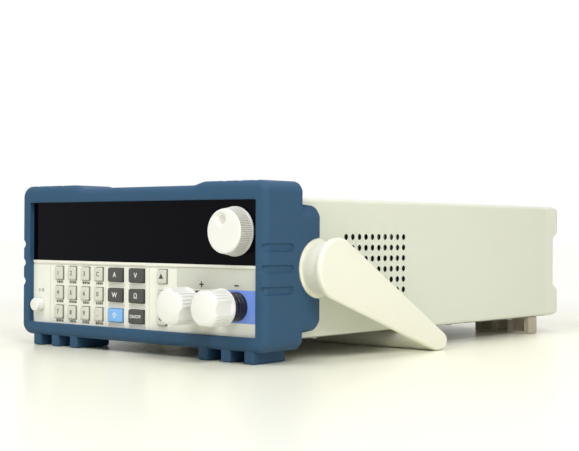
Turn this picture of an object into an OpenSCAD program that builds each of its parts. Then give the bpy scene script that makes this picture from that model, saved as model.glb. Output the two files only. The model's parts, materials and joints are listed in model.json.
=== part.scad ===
// Bench-top DC electronic load in a half-rack case of two units: rubber front
// bumper, keypad panel, binding posts, swinging bail handle and rear fan.
// Frame: millimetres, +Z up, front towards -Y, origin under the middle of the
// whole outline on the table.

/* [Case] */
// Width of the sheet-metal case
case_w = 214.5; // [208:0.5:230]
// Height of the case
case_h = 88.2; // [86:0.2:96]
// Depth of the case from the panel's face to the rear bezel
case_d = 349; // [330:1:400]
// Thickness of the sheet metal
sheet_t = 1.5; // [1:0.1:2]
// Radius of the case's long edges
case_r = 3; // [2.5:0.5:5]
// Height of the case's underside above the table
foot_h = 13.3; // [13.2:0.1:20]

/* [Vents] */
// Diameter of one vent hole
vent_d = 4; // [2.5:0.1:5]
// Distance between vent holes
vent_pitch = 7.2; // [6:0.1:9]
// Number of vent columns
vent_cols = 10; // [4:1:14]
// Number of vent rows
vent_rows = 6; // [2:1:7]
// First column behind the panel's face
vent_start = 84; // [70:1:110]
// Top row below the case's top
vent_drop = 24.6; // [15:0.1:30]

/* [Bumper] */
// Thickness of the bumper at the sides
bumper_wall = 8.1; // [6:0.1:9]
// Thickness of the bumper over the case
bumper_roof = 7.4; // [6:0.1:9]
// Thickness of the bumper under the case
bumper_floor = 6; // [5:0.1:8]
// Depth of the bumper
bumper_d = 34.2; // [30:0.1:40]
// Thickness of the lip in front of the panel
lip_t = 4; // [2.5:0.1:6]
// How far the lip covers the panel at the sides
lip_side = 1; // [0.6:0.1:2]
// How far the lip covers the panel at the top
lip_top = 2; // [1:0.1:4]
// How far the lip covers the panel at the bottom
lip_bottom = 2.7; // [1:0.1:4]
// Radius of the bumper's corners
bumper_r = 8; // [6:0.5:12]
// Rounding of the bumper's front edge
bumper_edge = 4.5; // [2:0.1:5.5]
// Rise of the corner pads above the bumper's top
pad_rise = 2.3; // [1:0.1:4]
// Width of a corner pad with its ramp
pad_w = 65; // [56:1:75]
// Length of the ramp at a pad's inner end
pad_ramp = 12; // [6:0.5:16]
// Length of the tabs beside the hubs
tab_l = 16.7; // [12:0.1:20]
// Half height of the tabs about the pivot
tab_h = 39; // [34:0.5:40]
// Radius of the tabs' corners
tab_r = 7; // [4:0.5:9]
// Length of the finger grooves behind the bumper's front
groove_l = 25.7; // [15:0.1:28]
// Height of a finger groove
groove_h = 5; // [3:0.1:7]
// Depth of a finger groove
groove_depth = 1.4; // [0.4:0.1:2]
// Distance between finger grooves
groove_pitch = 13; // [9:0.5:16]
// Middle finger groove of a pad from the bumper's side
pad_groove_in = 26; // [22:0.5:30]

/* [Feet] */
// Width of a front foot
front_foot_w = 46.5; // [40:0.5:60]
// Depth of a front foot
front_foot_d = 30; // [20:0.5:32]
// Width of one fin of a front foot
foot_fin_w = 8; // [6:0.1:12]
// Front foot from the bumper's side
front_foot_inset = 11.6; // [8:0.1:16]
// Width of a rear foot
rear_foot_w = 49; // [40:0.5:60]
// Depth of a rear foot
rear_foot_d = 13; // [10:0.5:18]
// Rear foot's front face ahead of the rear bezel
rear_foot_ahead = 26; // [20:0.5:40]

/* [Panel] */
// Thickness of the front panel
panel_t = 5; // [4:0.1:7]
// Thickness of the display window
window_t = 2; // [1.5:0.1:3]
// Height of the window, down from the case's top
window_h = 42; // [36:0.1:43]
// How far the ridge under the window stands out
ridge_out = 0.8; // [0.4:0.1:1.5]
// Height of the ridge
ridge_h = 1.7; // [1:0.1:3]

/* [Keys] */
// Width of a number key
key_w = 8; // [6:0.1:10]
// Height of every key
key_h = 9; // [7:0.1:10]
// Width of a function key
function_w = 14; // [10:0.1:16]
// How far the keys stand out of the panel
key_out = 2; // [1.2:0.1:3]
// Travel of a key
key_travel = 1.2; // [0.6:0.1:1.6]
// Distance between number columns
key_pitch_x = 13.6; // [12.6:0.1:14]
// Distance between key rows
key_pitch_z = 13.4; // [12.4:0.1:14]
// First number column from the case's left side
key_inset = 29.7; // [27:0.1:32]
// Lowest key row above the case's underside
key_rise = 10.8; // [9.5:0.1:12]
// First function column from the first number column
function_step = 57.6; // [56:0.1:62]
// Distance between function columns
function_pitch = 20.2; // [18:0.1:22]
// Cursor column from the first function column
cursor_step = 44; // [40:0.1:48]

/* [Power button] */
// Diameter of the power button
button_d = 9; // [7:0.1:10]
// How far the power button stands out of the panel
button_out = 6; // [5:0.1:10]
// Travel of the power button
button_travel = 3.5; // [2:0.1:4.5]
// Power button from the case's left side
button_inset = 8.6; // [8:0.1:10]
// Power button above the case's underside
button_rise = 15; // [12:0.1:24]

/* [Knob] */
// Diameter of the knob's rim
knob_d = 30.6; // [26:0.1:34]
// Diameter of the knob's front face
knob_front_d = 27.4; // [22:0.1:29]
// Length of the knob
knob_l = 11.2; // [10:0.1:18]
// Number of flutes round the knob
knob_flutes = 78; // [24:1:90]
// Knob axis from the case's right side
knob_inset = 20; // [18.5:0.1:24]
// Knob axis below the case's top
knob_drop = 21.3; // [20.5:0.1:23]
// Diameter of the encoder's shaft
shaft_d = 6; // [4:0.1:7]

/* [Binding posts] */
// Diameter of a cap
cap_d = 23.2; // [18:0.1:25]
// Length of a cap
cap_l = 18.4; // [15:0.1:24]
// Length of the ribbed grip at the cap's rear
cap_grip = 9; // [6:0.1:11]
// Diameter of a post's collar
collar_d = 18; // [15:0.1:20]
// Length of a post's collar in front of the panel
collar_l = 11.4; // [8:0.1:16]
// Diameter of the studs
stud_d = 6; // [5:0.1:8]
// Negative post from the case's right side
post_inset = 19.4; // [17:0.1:24]
// Distance between the posts
post_pitch = 29.6; // [27:0.1:34]
// Post axes above the case's underside
post_rise = 21; // [19:0.1:24]

/* [Handle] */
// Overall width over the handle's arms
handle_w = 265; // [258:0.5:280]
// Pivot behind the panel's face
pivot_back = 45.3; // [42:0.1:52]
// Grip behind the pivot when folded under the case
grip_back = 114.6; // [100:0.1:125]
// Radius of an arm's head
head_r = 19.1; // [17:0.1:22]
// Thickness of an arm
arm_t = 4; // [3:0.1:6]
// Rounding of an arm's outer rim
arm_edge = 1.8; // [0.8:0.1:2.2]
// Radius of the boss on an arm's head
boss_r = 16.3; // [13:0.1:17]
// Radius of the grip bar
grip_r = 6; // [4.5:0.1:6.2]
// Flat stretch of the grip bar's section
grip_flat = 7; // [3:0.1:10]
// Radius of a hub's flange
hub_r = 18.3; // [17.2:0.1:20]
// Radius of a hub's pivot spigot
spigot_r = 8; // [5:0.1:10]

/* [Rear bezel] */
// Depth of the bezel's frame
bezel_t = 11.5; // [8:0.1:16]
// Width of the bezel's frame
bezel_rim = 8; // [6:0.1:10]
// Length of the corner prongs
prong_l = 9.5; // [5:0.1:14]
// Height of the gap between the prongs
prong_gap_h = 37.8; // [30:0.1:44]
// Width of the gap between the prongs
prong_gap_w = 126; // [100:1:150]
// Length of the rounding at the prongs' ends
prong_round_l = 10; // [4:0.5:14]
// Depth of the rounding at the prongs' ends
prong_round = 4; // [2:0.1:5.5]

/* [Fan] */
// Width of the square fan frame
fan_w = 70; // [60:1:76]
// Depth of the fan frame
fan_d = 25; // [20:1:30]
// Number of fan blades
fan_blades = 7; // [5:1:11]
// Fan axis to the right of the middle
fan_x = 18; // [10:1:24]

/* [Inside] */
// Width of the heat sink
sink_w = 76; // [60:1:80]
// Depth of the heat sink
sink_d = 200; // [150:1:215]
// Number of heat sink fins
sink_fins = 9; // [5:1:12]
// Width of the main board
board_w = 62; // [50:1:66]
// Depth of the main board
board_d = 130; // [100:1:150]
// Width of the transformer's core
core_w = 56; // [40:1:60]

/* [Fits] */
// Clearance of sliding keys and of the button
slip_gap = 0.3; // [0.2:0.05:0.4]
// Clearance of shafts and spigots in their bores
run_gap = 0.05; // [0.02:0.01:0.09]
// Clearance of pieces that seat on one another
seat_gap = 0.1; // [0.05:0.05:0.2]

/* [Hidden] */
$fn = 64;
eps = 0.01;
hull_fn = 32;

// Colours
ivory = [0.89, 0.89, 0.82];
bumper_blue = [0.24, 0.35, 0.45];
window_black = [0.09, 0.09, 0.10];
key_grey = [0.28, 0.28, 0.27];
key_blue = [0.47, 0.67, 0.92];
foot_grey = [0.42, 0.40, 0.37];
post_red = [0.70, 0.10, 0.10];
post_black = [0.10, 0.08, 0.14];
metal = [0.75, 0.75, 0.77];
board_green = [0.10, 0.35, 0.20];

// Heights
case_z0 = foot_h;
case_z1 = foot_h + case_h;
mid_z = (case_z0 + case_z1) / 2;
half_w = case_w / 2;
window_z0 = case_z1 - window_h;
bumper_w = case_w + 2 * bumper_wall;
bumper_z0 = case_z0 - bumper_floor;
bumper_z1 = case_z1 + bumper_roof;
pad_top = bumper_z1 + pad_rise;
opening_w = case_w - 2 * lip_side;
opening_z0 = case_z0 + lip_bottom;
opening_z1 = case_z1 - lip_top;

// Depths, counted so that the outline's middle lies at y = 0
washer_t = 1.2;
post_reach = collar_l + washer_t + cap_l - lip_t;
body_depth = lip_t + case_d + bezel_t + prong_l;
front_y = -(body_depth - post_reach) / 2;
panel_y = front_y + lip_t;
panel_back = panel_y + panel_t;
window_back = panel_y + window_t;
case_end = panel_y + case_d;
bezel_end = case_end + bezel_t;
rear_y = bezel_end + prong_l;
rear_panel_y = case_end - sheet_t;
pivot_y = panel_y + pivot_back;
pivot_z = mid_z;

// Keypad stack behind the panel
flange_t = 1;
flange_out = 0.7;
key_chamfer = 0.9;
key_back = panel_back + seat_gap;
dome_r = 3;
dome_h = 1.6;
mat_t = 1.2;
mat_y = key_back + flange_t + key_travel + seat_gap + dome_h;
control_y = mat_y + mat_t;
pcb_t = 1.6;
key_x0 = -half_w + key_inset;
key_z0 = case_z0 + key_rise;
function_x0 = key_x0 + function_step;
cursor_x = function_x0 + cursor_step;
number_cols = 4;
function_cols = 2;
key_rows = 3;
pillar_r = 2.4;
control_x0 = -half_w + sheet_t + 2;
control_x1 = cursor_x + key_w / 2 + 9;
control_z0 = case_z0 + sheet_t + 2;
control_z1 = window_z0 - 1;
pillar_inset = 1.2 + pillar_r;

// Front fittings
button_x = -half_w + button_inset;
button_z = case_z0 + button_rise;
stem_r = 2.4;
switch_w = 12;
switch_l = 14;
stem_in = 1;
knob_x = half_w - knob_inset;
knob_z = case_z1 - knob_drop;
knob_lift = 0.4;
bushing_r = shaft_d / 2 + 1.6;
bushing_out = 2.4;
encoder_w = 14;
encoder_l = 8;
display_w = 106;
display_h = 22;
display_x = -26;
display_z = case_z1 - 21;
negative_x = half_w - post_inset;
positive_x = negative_x - post_pitch;
post_z = case_z0 + post_rise;
post_neck_r = stud_d / 2 + 1.6;
nut_r = stud_d / 2 + 2.6;
nut_t = 5;
stud_tail = 12;
cap_bore_l = cap_l - 4;

// Handle
arm_x = handle_w / 2;
arm_in = arm_x - arm_t;
hub_split = 0.385;
hub_out = half_w + hub_split * (arm_in - half_w);
grip_z = grip_r + 0.2;
grip_y = pivot_y + grip_back;
spigot_l = arm_in - hub_out - 0.5;
hub_lip_t = 1.6;
hub_lip = 1;
hub_clear = 0.4;
rib_t = 4;
rib_half = 5;
toe_r = 2.4;
tenon_r = 3;

// Inside and rear
floor_z = case_z0 + sheet_t;
lip_w = 12;
tray_flange_h = 5;
fan_z = mid_z;
fan_y1 = rear_panel_y;
fan_y0 = fan_y1 - fan_d;
fan_bore_r = fan_w / 2 - 2;
fan_hub_r = fan_w * 0.22;
fan_hole = fan_w / 2 - 4.5;
fan_screw_r = 2.2;
axle_r = 1.5;
sink_x0 = fan_x - sink_w / 2;
sink_gap = 6;
sink_y1 = fan_y0 - sink_gap;
sink_y0 = sink_y1 - sink_d;
sink_wall = 7;
sink_top = case_z1 - sheet_t - sink_gap;
fin_t = 2;
board_gap = 2;
board_x0 = -half_w + sheet_t + lip_w + board_gap;
board_lift = 10;
board_z = floor_z + board_lift;
board_back = 60;
board_y0 = panel_y + board_back;
transformer_gap = 12;
transformer_y0 = board_y0 + board_d + transformer_gap;
inlet_inset = 26;
inlet_rise = 28;
inlet_x = -half_w + bezel_rim + inlet_inset;
inlet_z = case_z0 + inlet_rise;
connector_inset = 20;
connector_off = 26;
connector_x = half_w - bezel_rim - connector_inset;
serial_z = case_z1 - connector_off;
sense_z = case_z0 + connector_off;

// Draws a flat shape given in x and z, as a block from one depth to another
module along_y(y0, y1) {
  translate([0, y1, 0]) rotate([90, 0, 0]) linear_extrude(y1 - y0) children();
}

// Draws a flat shape given in y and z, as a block from one side to another
module along_x(x0, x1) {
  translate([x0, 0, 0]) rotate([90, 0, 90]) linear_extrude(x1 - x0) children();
}

// Turns a shape that rises in +z to stand out of the front
module facing_front(x, y, z) {
  translate([x, y, z]) rotate([90, 0, 0]) children();
}

// Turns a shape that rises in +z to stand out of the rear
module facing_rear(x, y, z) {
  translate([x, y, z]) rotate([90, 0, 180]) children();
}

// Rectangle with round corners, about its own middle
module round_rect(w, h, r) {
  square([w - 2 * r, h], center = true);
  square([w, h - 2 * r], center = true);
  for (x = [-1, 1], z = [-1, 1])
    translate([x * (w / 2 - r), z * (h / 2 - r)]) circle(r);
}

// The case's outline, grown by a clearance
module case_outline(grow = 0) {
  translate([0, mid_z]) round_rect(case_w + 2 * grow, case_h + 2 * grow, case_r + grow);
}

// Flat bar with round ends, about its own middle
module pill(l, h) {
  square([l - h, h], center = true);
  for (s = [-1, 1]) translate([s * (l - h) / 2, 0]) circle(h / 2);
}

// Points of a quarter round from the outside to the front, in radius and height
function quarter_round(r_out, z_top, r, steps = 5) =
  [for (i = [0:steps]) [r_out - r + r * cos(90 * i / steps), z_top - r + r * sin(90 * i / steps)]];

// Points along an ellipse, from one angle to another
function ellipse_arc(centre, rx, ry, from, to, steps = 8) =
  [for (i = [0:steps]) let (a = from + (to - from) * i / steps) centre + [rx * cos(a), ry * sin(a)]];

// Front bumper

// Repeats a slice from the front to the full outline, drawn in along a quarter round
module front_rounding() {
  steps = 4;
  for (i = [0:steps]) {
    a = 90 * i / steps;
    y = front_y + bumper_edge * (1 - sin(a));
    $margin = bumper_edge * (1 - cos(a));
    along_y(y, y + eps) children();
  }
  $margin = 0;
  along_y(front_y + bumper_edge, front_y + bumper_d) children();
}

// Outline slice of the bumper, drawn in by the margin of its depth
module bumper_slice() {
  w = bumper_w - 2 * $margin;
  h = bumper_z1 - bumper_z0 - 2 * $margin;
  translate([0, (bumper_z0 + bumper_z1) / 2]) round_rect(w, h, bumper_r - $margin, $fn = hull_fn);
}

// Slice of the raised pad on the right upper corner, with a ramp on its inner end
module pad_slice() {
  corner_r = bumper_r - $margin;
  side = bumper_w / 2 - $margin;
  top = pad_top - $margin;
  base = bumper_z1 - bumper_r;
  polygon([
    [side - pad_w, base], [side - pad_w, top - pad_rise], [side - pad_w + pad_ramp, top],
    [side - corner_r, top], [side, top - corner_r], [side, base]
  ]);
  translate([side - corner_r, top - corner_r]) circle(corner_r, $fn = hull_fn);
}

// Foot under the right front corner: three fins in front of a solid heel
module bumper_foot() {
  setback = 1.8;
  foot_r = 2;
  foot_x = bumper_w / 2 - front_foot_inset - front_foot_w / 2;
  foot_y = front_y + setback;
  foot_top = bumper_z0 + bumper_edge;
  fin_step = (front_foot_w - foot_fin_w) / 2;
  heel = front_foot_d / 2;
  translate([foot_x, 0, foot_top / 2]) {
    along_y(foot_y + heel, foot_y + front_foot_d) round_rect(front_foot_w, foot_top, foot_r);
    for (i = [-1:1])
      translate([i * fin_step, 0, 0])
        along_y(foot_y, foot_y + heel + eps) round_rect(foot_fin_w, foot_top, foot_r);
  }
}

// Tab on the right that reaches back above and below the hub, bevelled at both ends
module bumper_tab() {
  bevel = 2;
  bevel_h = 7;
  tab_in = half_w + seat_gap;
  tab_out = bumper_w / 2;
  tab_y0 = front_y + bumper_d - 2 * tab_r;
  tab_y1 = front_y + bumper_d + tab_l;
  intersection() {
    along_x(tab_in, tab_out)
      translate([(tab_y0 + tab_y1) / 2, pivot_z]) round_rect(tab_y1 - tab_y0, 2 * tab_h, tab_r);
    along_y(tab_y0, tab_y1) translate([0, pivot_z]) polygon([
      [tab_in, -tab_h], [tab_out - bevel, -tab_h], [tab_out, bevel_h - tab_h],
      [tab_out, tab_h - bevel_h], [tab_out - bevel, tab_h], [tab_in, tab_h]
    ]);
  }
}

// Three finger grooves that run back from the front, beside one another in a plane
module finger_grooves(along) {
  run = 2 * groove_l;
  for (i = [-1:1])
    translate([front_y + groove_l - run / 2, along + i * groove_pitch]) pill(run, groove_h);
}

module front_bumper() {
  hub_cut_r = hub_r + hub_clear;
  opening_r = 1.2;
  color(bumper_blue) difference() {
    union() {
      hull() front_rounding() bumper_slice();
      for (side = [0, 1]) mirror([side, 0, 0]) {
        hull() front_rounding() pad_slice();
        bumper_foot();
        bumper_tab();
      }
    }
    along_y(front_y - 1, front_y + lip_t + eps) translate([0, (opening_z0 + opening_z1) / 2])
      round_rect(opening_w, opening_z1 - opening_z0, opening_r);
    along_y(front_y + lip_t, front_y + bumper_d + 1) case_outline(seat_gap);
    along_x(-bumper_w, bumper_w) translate([pivot_y, pivot_z]) {
      circle(hub_cut_r);
      translate([0, -hub_cut_r]) square([2 * tab_l, 2 * hub_cut_r]);
    }
    for (side = [0, 1]) mirror([side, 0, 0]) {
      along_x(bumper_w / 2 - groove_depth, bumper_w) finger_grooves(pivot_z);
      translate([0, 0, pad_top - groove_depth]) linear_extrude(2 * pad_rise + groove_depth)
        mirror([1, -1, 0]) finger_grooves(bumper_w / 2 - pad_groove_in);
    }
  }
}

// Panel, window and display

// Repeats a shape at the four pillars that carry the control board
module at_pillars() {
  left_x = (button_x + key_x0) / 2;
  for (x = [left_x, control_x1 - pillar_inset], z = [control_z0 + pillar_inset, control_z1 - pillar_inset])
    facing_rear(x, panel_back, z) children();
}

// Repeats a shape at every key, with the key's own width
module at_keys() {
  for (row = [0:key_rows - 1]) {
    z = key_z0 + row * key_pitch_z;
    for (col = [0:number_cols - 1])
      translate([key_x0 + col * key_pitch_x, 0, z]) key_size(key_w) children();
    for (col = [0:function_cols - 1])
      translate([function_x0 + col * function_pitch, 0, z]) key_size(function_w) children();
    translate([cursor_x, 0, z]) key_size(key_w) children();
  }
}

// Passes a key's width on to its child
module key_size(w) {
  $w = w;
  children();
}

module front_panel() {
  ridge_w = opening_w - 2 * seat_gap;
  lip_clear = 0.4;
  color(ivory) difference() {
    union() {
      along_y(window_back, panel_back) case_outline();
      along_y(panel_y, panel_back) intersection() {
        case_outline();
        translate([-case_w, case_z0 - 1]) square([2 * case_w, window_z0 - case_z0 + 1 - seat_gap]);
      }
      translate([-ridge_w / 2 + lip_clear, panel_y - ridge_out, window_z0 - ridge_h])
        cube([ridge_w - 2 * lip_clear, ridge_out + eps, ridge_h - seat_gap]);
      at_pillars() translate([0, 0, -eps]) cylinder(r = pillar_r, h = control_y - panel_back);
    }
    at_keys() translate([0, (panel_y + panel_back) / 2, 0])
      cube([$w + 2 * slip_gap, 2 * panel_t, key_h + 2 * slip_gap], center = true);
    facing_front(button_x, panel_back + 1, button_z)
      cylinder(d = button_d + 2 * slip_gap, h = panel_t + 2);
    facing_front(knob_x, panel_back + 1, knob_z) cylinder(r = bushing_r + seat_gap, h = panel_t + 2);
    for (x = [positive_x, negative_x])
      facing_front(x, panel_back + 1, post_z) cylinder(r = post_neck_r + seat_gap, h = panel_t + 2);
    translate([display_x - display_w / 2, window_back - 1, display_z - display_h / 2])
      cube([display_w, panel_t + 2, display_h]);
  }
}

module display_window() {
  color(window_black) difference() {
    along_y(panel_y, window_back - eps) intersection() {
      case_outline();
      translate([-case_w, window_z0]) square([2 * case_w, window_h + 1]);
    }
    facing_front(knob_x, panel_back, knob_z) cylinder(r = bushing_r + seat_gap, h = panel_t + 2);
  }
}

// Display glass set in the panel's cut-out, on its own board
module display_module() {
  glass_y = window_back + slip_gap;
  board_y = panel_back + seat_gap;
  color(board_green) {
    translate([display_x, (glass_y + board_y) / 2 + eps, display_z])
      cube([display_w - 2 * slip_gap, board_y - glass_y + 2 * eps, display_h - 2 * slip_gap], center = true);
    translate([display_x, board_y + pcb_t / 2, display_z])
      cube([display_w + 24, pcb_t, display_h + 10], center = true);
  }
}

// Keys

// One key: bevelled cap, shank through the panel and a flange behind it
module key_solid(w) {
  front = panel_y - key_out;
  flange_y = key_back + flange_t;
  c = key_chamfer;
  module side_profile(s) {
    polygon([
      [-s / 2, key_back + eps], [s / 2, key_back + eps], [s / 2, front + c],
      [s / 2 - c, front], [-s / 2 + c, front], [-s / 2, front + c]
    ]);
  }
  intersection() {
    translate([0, 0, -key_h / 2]) linear_extrude(key_h) side_profile(w);
    translate([-w / 2, 0, 0]) rotate([0, 90, 0]) linear_extrude(w) side_profile(key_h);
  }
  flange_w = w + 2 * (slip_gap + flange_out);
  flange_h = key_h + 2 * (slip_gap + flange_out);
  translate([-flange_w / 2, key_back, -flange_h / 2]) cube([flange_w, flange_y - key_back, flange_h]);
}

// Number key by its row from the top and its column from the left
module number_key(row, col) {
  color(ivory)
    translate([key_x0 + col * key_pitch_x, 0, key_z0 + (key_rows - 1 - row) * key_pitch_z])
      key_solid(key_w);
}

// Function key by its row from the top and its column from the left
module function_key(row, col, tint = key_grey) {
  color(tint)
    translate([function_x0 + col * function_pitch, 0, key_z0 + (key_rows - 1 - row) * key_pitch_z])
      key_solid(function_w);
}

// Cursor key by its row from the top
module cursor_key(row) {
  color(ivory)
    translate([cursor_x, 0, key_z0 + (key_rows - 1 - row) * key_pitch_z]) key_solid(key_w);
}

// Rubber sheet with a dome under every key
module keypad_mat() {
  color("gainsboro") {
    difference() {
      translate([control_x0, mat_y, control_z0])
        cube([control_x1 - control_x0, mat_t - eps, control_z1 - control_z0]);
      facing_rear(button_x, mat_y - 1, button_z) cylinder(r = button_d / 2 + 2, h = mat_t + 2);
      at_pillars() cylinder(r = pillar_r + slip_gap, h = control_y - panel_back + 1);
    }
    at_keys() facing_front(0, mat_y + eps, 0) cylinder(r = dome_r, h = dome_h + eps);
  }
}

module control_board() {
  color(board_green) difference() {
    translate([control_x0, control_y, control_z0])
      cube([control_x1 - control_x0, pcb_t, control_z1 - control_z0]);
    facing_rear(button_x, control_y - 1, button_z) cylinder(r = stem_r + 1, h = pcb_t + 2);
  }
}

// Power button and switch

module power_button() {
  front_r = 1;
  rod_l = control_y + pcb_t + stem_in - panel_back;
  color(ivory) facing_front(button_x, panel_back, button_z) {
    rotate_extrude() polygon(concat(
      [[0, -seat_gap - eps], [button_d / 2, -seat_gap - eps]],
      quarter_round(button_d / 2, panel_t + button_out, front_r),
      [[0, panel_t + button_out]]
    ));
    translate([0, 0, -seat_gap - flange_t])
      cylinder(r = button_d / 2 + slip_gap + flange_out, h = flange_t);
    translate([0, 0, -rod_l]) cylinder(r = stem_r, h = rod_l - seat_gap);
  }
}

module power_switch() {
  bore_l = stem_in + button_travel + 1;
  color("dimgray") facing_rear(button_x, control_y + pcb_t, button_z) difference() {
    translate([0, 0, switch_l / 2]) cube([switch_w, switch_w, switch_l], center = true);
    translate([0, 0, -1]) cylinder(r = stem_r + run_gap, h = bore_l + 1);
  }
}

// Knob and encoder

// Star outline with as many points as the knob has flutes
module flute_outline(r, depth) {
  polygon([for (i = [0:2 * knob_flutes - 1])
    let (a = 180 * i / knob_flutes, s = i % 2 == 0 ? r : r - depth) [s * cos(a), s * sin(a)]]);
}

module control_knob() {
  rim_t = 1.6;
  flute_l = 0.72 * knob_l;
  body_r = knob_d / 2 - 0.7;
  front_r = knob_front_d / 2;
  skirt_r = bushing_r + 3;
  skirt_l = bushing_out + 1;
  dimple_r = 7;
  dimple_depth = 1.6;
  edge_r = 1.2;
  dimple_at = 0.58 * front_r;
  color(ivory) facing_front(knob_x, panel_y - knob_lift, knob_z) difference() {
    union() {
      cylinder(d = knob_d, h = rim_t);
      translate([0, 0, rim_t - eps]) linear_extrude(flute_l) flute_outline(body_r + 0.4, 0.6);
      rotate_extrude() polygon(concat(
        [[0, eps], [body_r - 0.5, eps], [body_r - 0.5, rim_t + flute_l - eps], [body_r, rim_t + flute_l]],
        quarter_round(front_r, knob_l, edge_r),
        [[0, knob_l]]
      ));
    }
    translate([0, 0, -1]) cylinder(r = skirt_r, h = skirt_l + 1);
    translate([0, 0, -1]) cylinder(r = shaft_d / 2 + eps, h = knob_l - 2);
    rotate(120) translate([dimple_at, 0, knob_l + dimple_r - dimple_depth]) sphere(dimple_r);
  }
}

module encoder_shaft() {
  shaft_l = panel_back - panel_y + knob_lift + knob_l - 4 + encoder_l / 2;
  color(metal) facing_front(knob_x, panel_back + encoder_l / 2, knob_z)
    cylinder(d = shaft_d, h = shaft_l);
}

module rotary_encoder() {
  bushing_l = panel_t + bushing_out;
  color("dimgray") difference() {
    union() {
      translate([knob_x - encoder_w / 2, panel_back + eps, knob_z - encoder_w / 2])
        cube([encoder_w, encoder_l, encoder_w]);
      facing_front(knob_x, panel_back + 1, knob_z) cylinder(r = bushing_r, h = bushing_l + 1);
      facing_front(knob_x, panel_y, knob_z) cylinder(r = bushing_r + 2, h = bushing_out - 0.4, $fn = 6);
    }
    facing_front(knob_x, panel_back + encoder_l / 2 + seat_gap, knob_z)
      cylinder(d = shaft_d + 2 * run_gap, h = bushing_l + encoder_l);
  }
}

// Binding posts

// Screw cap: ribbed and scooped grip at the rear, smooth rounded nose
module post_cap() {
  cap_r = cap_d / 2;
  nose_r = 0.42 * cap_r;
  sectors = 4;
  scoop_r = 0.8 * cap_r;
  scoop_depth = 1.3;
  rib_grooves = 3;
  rib_step = 11;
  rib_r = 0.55;
  difference() {
    rotate_extrude() polygon(concat(
      [[0, 0], [cap_r - 0.8, 0], [cap_r - 0.2, 0.6], [cap_r, cap_grip]],
      quarter_round(cap_r - 0.3, cap_l, nose_r, 6),
      [[0, cap_l]]
    ));
    translate([0, 0, -1]) cylinder(r = stud_d / 2 + run_gap, h = cap_bore_l + 1);
    for (i = [0:sectors - 1]) rotate(i * 360 / sectors) {
      translate([cap_r + scoop_r - scoop_depth, 0, -1]) cylinder(r = scoop_r, h = cap_grip);
      for (j = [-1:rib_grooves - 2])
        rotate(180 / sectors + j * rib_step)
          translate([cap_r, 0, -1]) cylinder(r = rib_r, h = cap_grip - 0.5);
    }
  }
}

// Post at its place, turned so that its grip lies as on the real one
module post_at(x, turn = 0) {
  facing_front(x, panel_y - collar_l - washer_t, post_z) rotate(turn) children();
}

module positive_cap() {
  color(ivory) post_at(positive_x, 28) post_cap();
}

module negative_cap() {
  color(ivory) post_at(negative_x, -6) post_cap();
}

// Captive washer that clamps a wire and moves along the stud with its cap
module clamp_washer(x) {
  color(metal) facing_front(x, panel_y - collar_l, post_z) difference() {
    translate([0, 0, eps]) cylinder(d = collar_d - 1, h = washer_t - 2 * eps);
    translate([0, 0, -1]) cylinder(r = stud_d / 2 + run_gap, h = washer_t + 2);
  }
}

module positive_washer() {
  clamp_washer(positive_x);
}

module negative_washer() {
  clamp_washer(negative_x);
}

// Insulating collar with ring grooves, and a neck through the panel
module post_base(x, tint) {
  rings = 3;
  ring_r = 0.7;
  color(tint) facing_front(x, panel_back, post_z) difference() {
    union() {
      cylinder(r = post_neck_r, h = panel_t + 1);
      translate([0, 0, panel_t]) rotate_extrude() polygon(concat(
        [[0, 0], [collar_d / 2, 0]], quarter_round(collar_d / 2, collar_l, 0.8, 3), [[0, collar_l]]
      ));
    }
    for (i = [1:rings]) translate([0, 0, panel_t + i * collar_l / (rings + 1)]) rotate_extrude()
      translate([collar_d / 2, 0]) circle(ring_r, $fn = 16);
    translate([0, 0, -1]) cylinder(r = stud_d / 2 + eps, h = panel_t + collar_l + 2);
  }
}

module positive_base() {
  post_base(positive_x, post_red);
}

module negative_base() {
  post_base(negative_x, post_black);
}

// Threaded studs of both posts with the nuts that hold them
module post_hardware() {
  stud_l = stud_tail + panel_t + collar_l + washer_t + cap_bore_l - 1;
  color("goldenrod") for (x = [positive_x, negative_x]) {
    facing_front(x, panel_back + stud_tail, post_z) cylinder(d = stud_d, h = stud_l);
    facing_rear(x, panel_back + eps, post_z) difference() {
      cylinder(r = nut_r, h = nut_t, $fn = 6);
      translate([0, 0, -1]) cylinder(r = stud_d / 2 + eps, h = nut_t + 2);
    }
  }
}

// Case

// Repeats a hole at every place of the vent field, across the whole case
module vent_field() {
  for (col = [0:vent_cols - 1], row = [0:vent_rows - 1])
    translate([-case_w, panel_y + vent_start + col * vent_pitch, case_z1 - vent_drop - row * vent_pitch])
      rotate([0, 90, 0]) cylinder(d = vent_d, h = 2 * case_w);
}

// Screws that hold the tray to the cover's inner lips
screw_r = 1.5;
screw_x = half_w - sheet_t - lip_w / 2;
screw_y = [panel_back + bumper_d + 20, (panel_back + case_end) / 2 + 40, case_end - rear_foot_ahead - 20];

// Repeats a shape at every cover screw
module at_cover_screws() {
  for (x = [-screw_x, screw_x], y = screw_y) translate([x, y, case_z0]) children();
}

// Inverted tray: top and both sides of the case, with a lip folded in along each side
module top_cover() {
  inner_w = case_w - 2 * sheet_t;
  color(ivory) difference() {
    union() {
      along_y(panel_back + eps, case_end) difference() {
        case_outline();
        case_outline(-sheet_t);
        translate([-inner_w / 2, case_z0 - 1]) square([inner_w, case_h / 2]);
      }
      for (x = [-inner_w / 2 - eps, inner_w / 2 - lip_w + eps])
        translate([x, panel_back + eps, floor_z + seat_gap])
          cube([lip_w, rear_panel_y - panel_back - 2 * seat_gap, sheet_t]);
    }
    vent_field();
    at_cover_screws() cylinder(r = screw_r + eps, h = 3 * sheet_t);
  }
}

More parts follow.
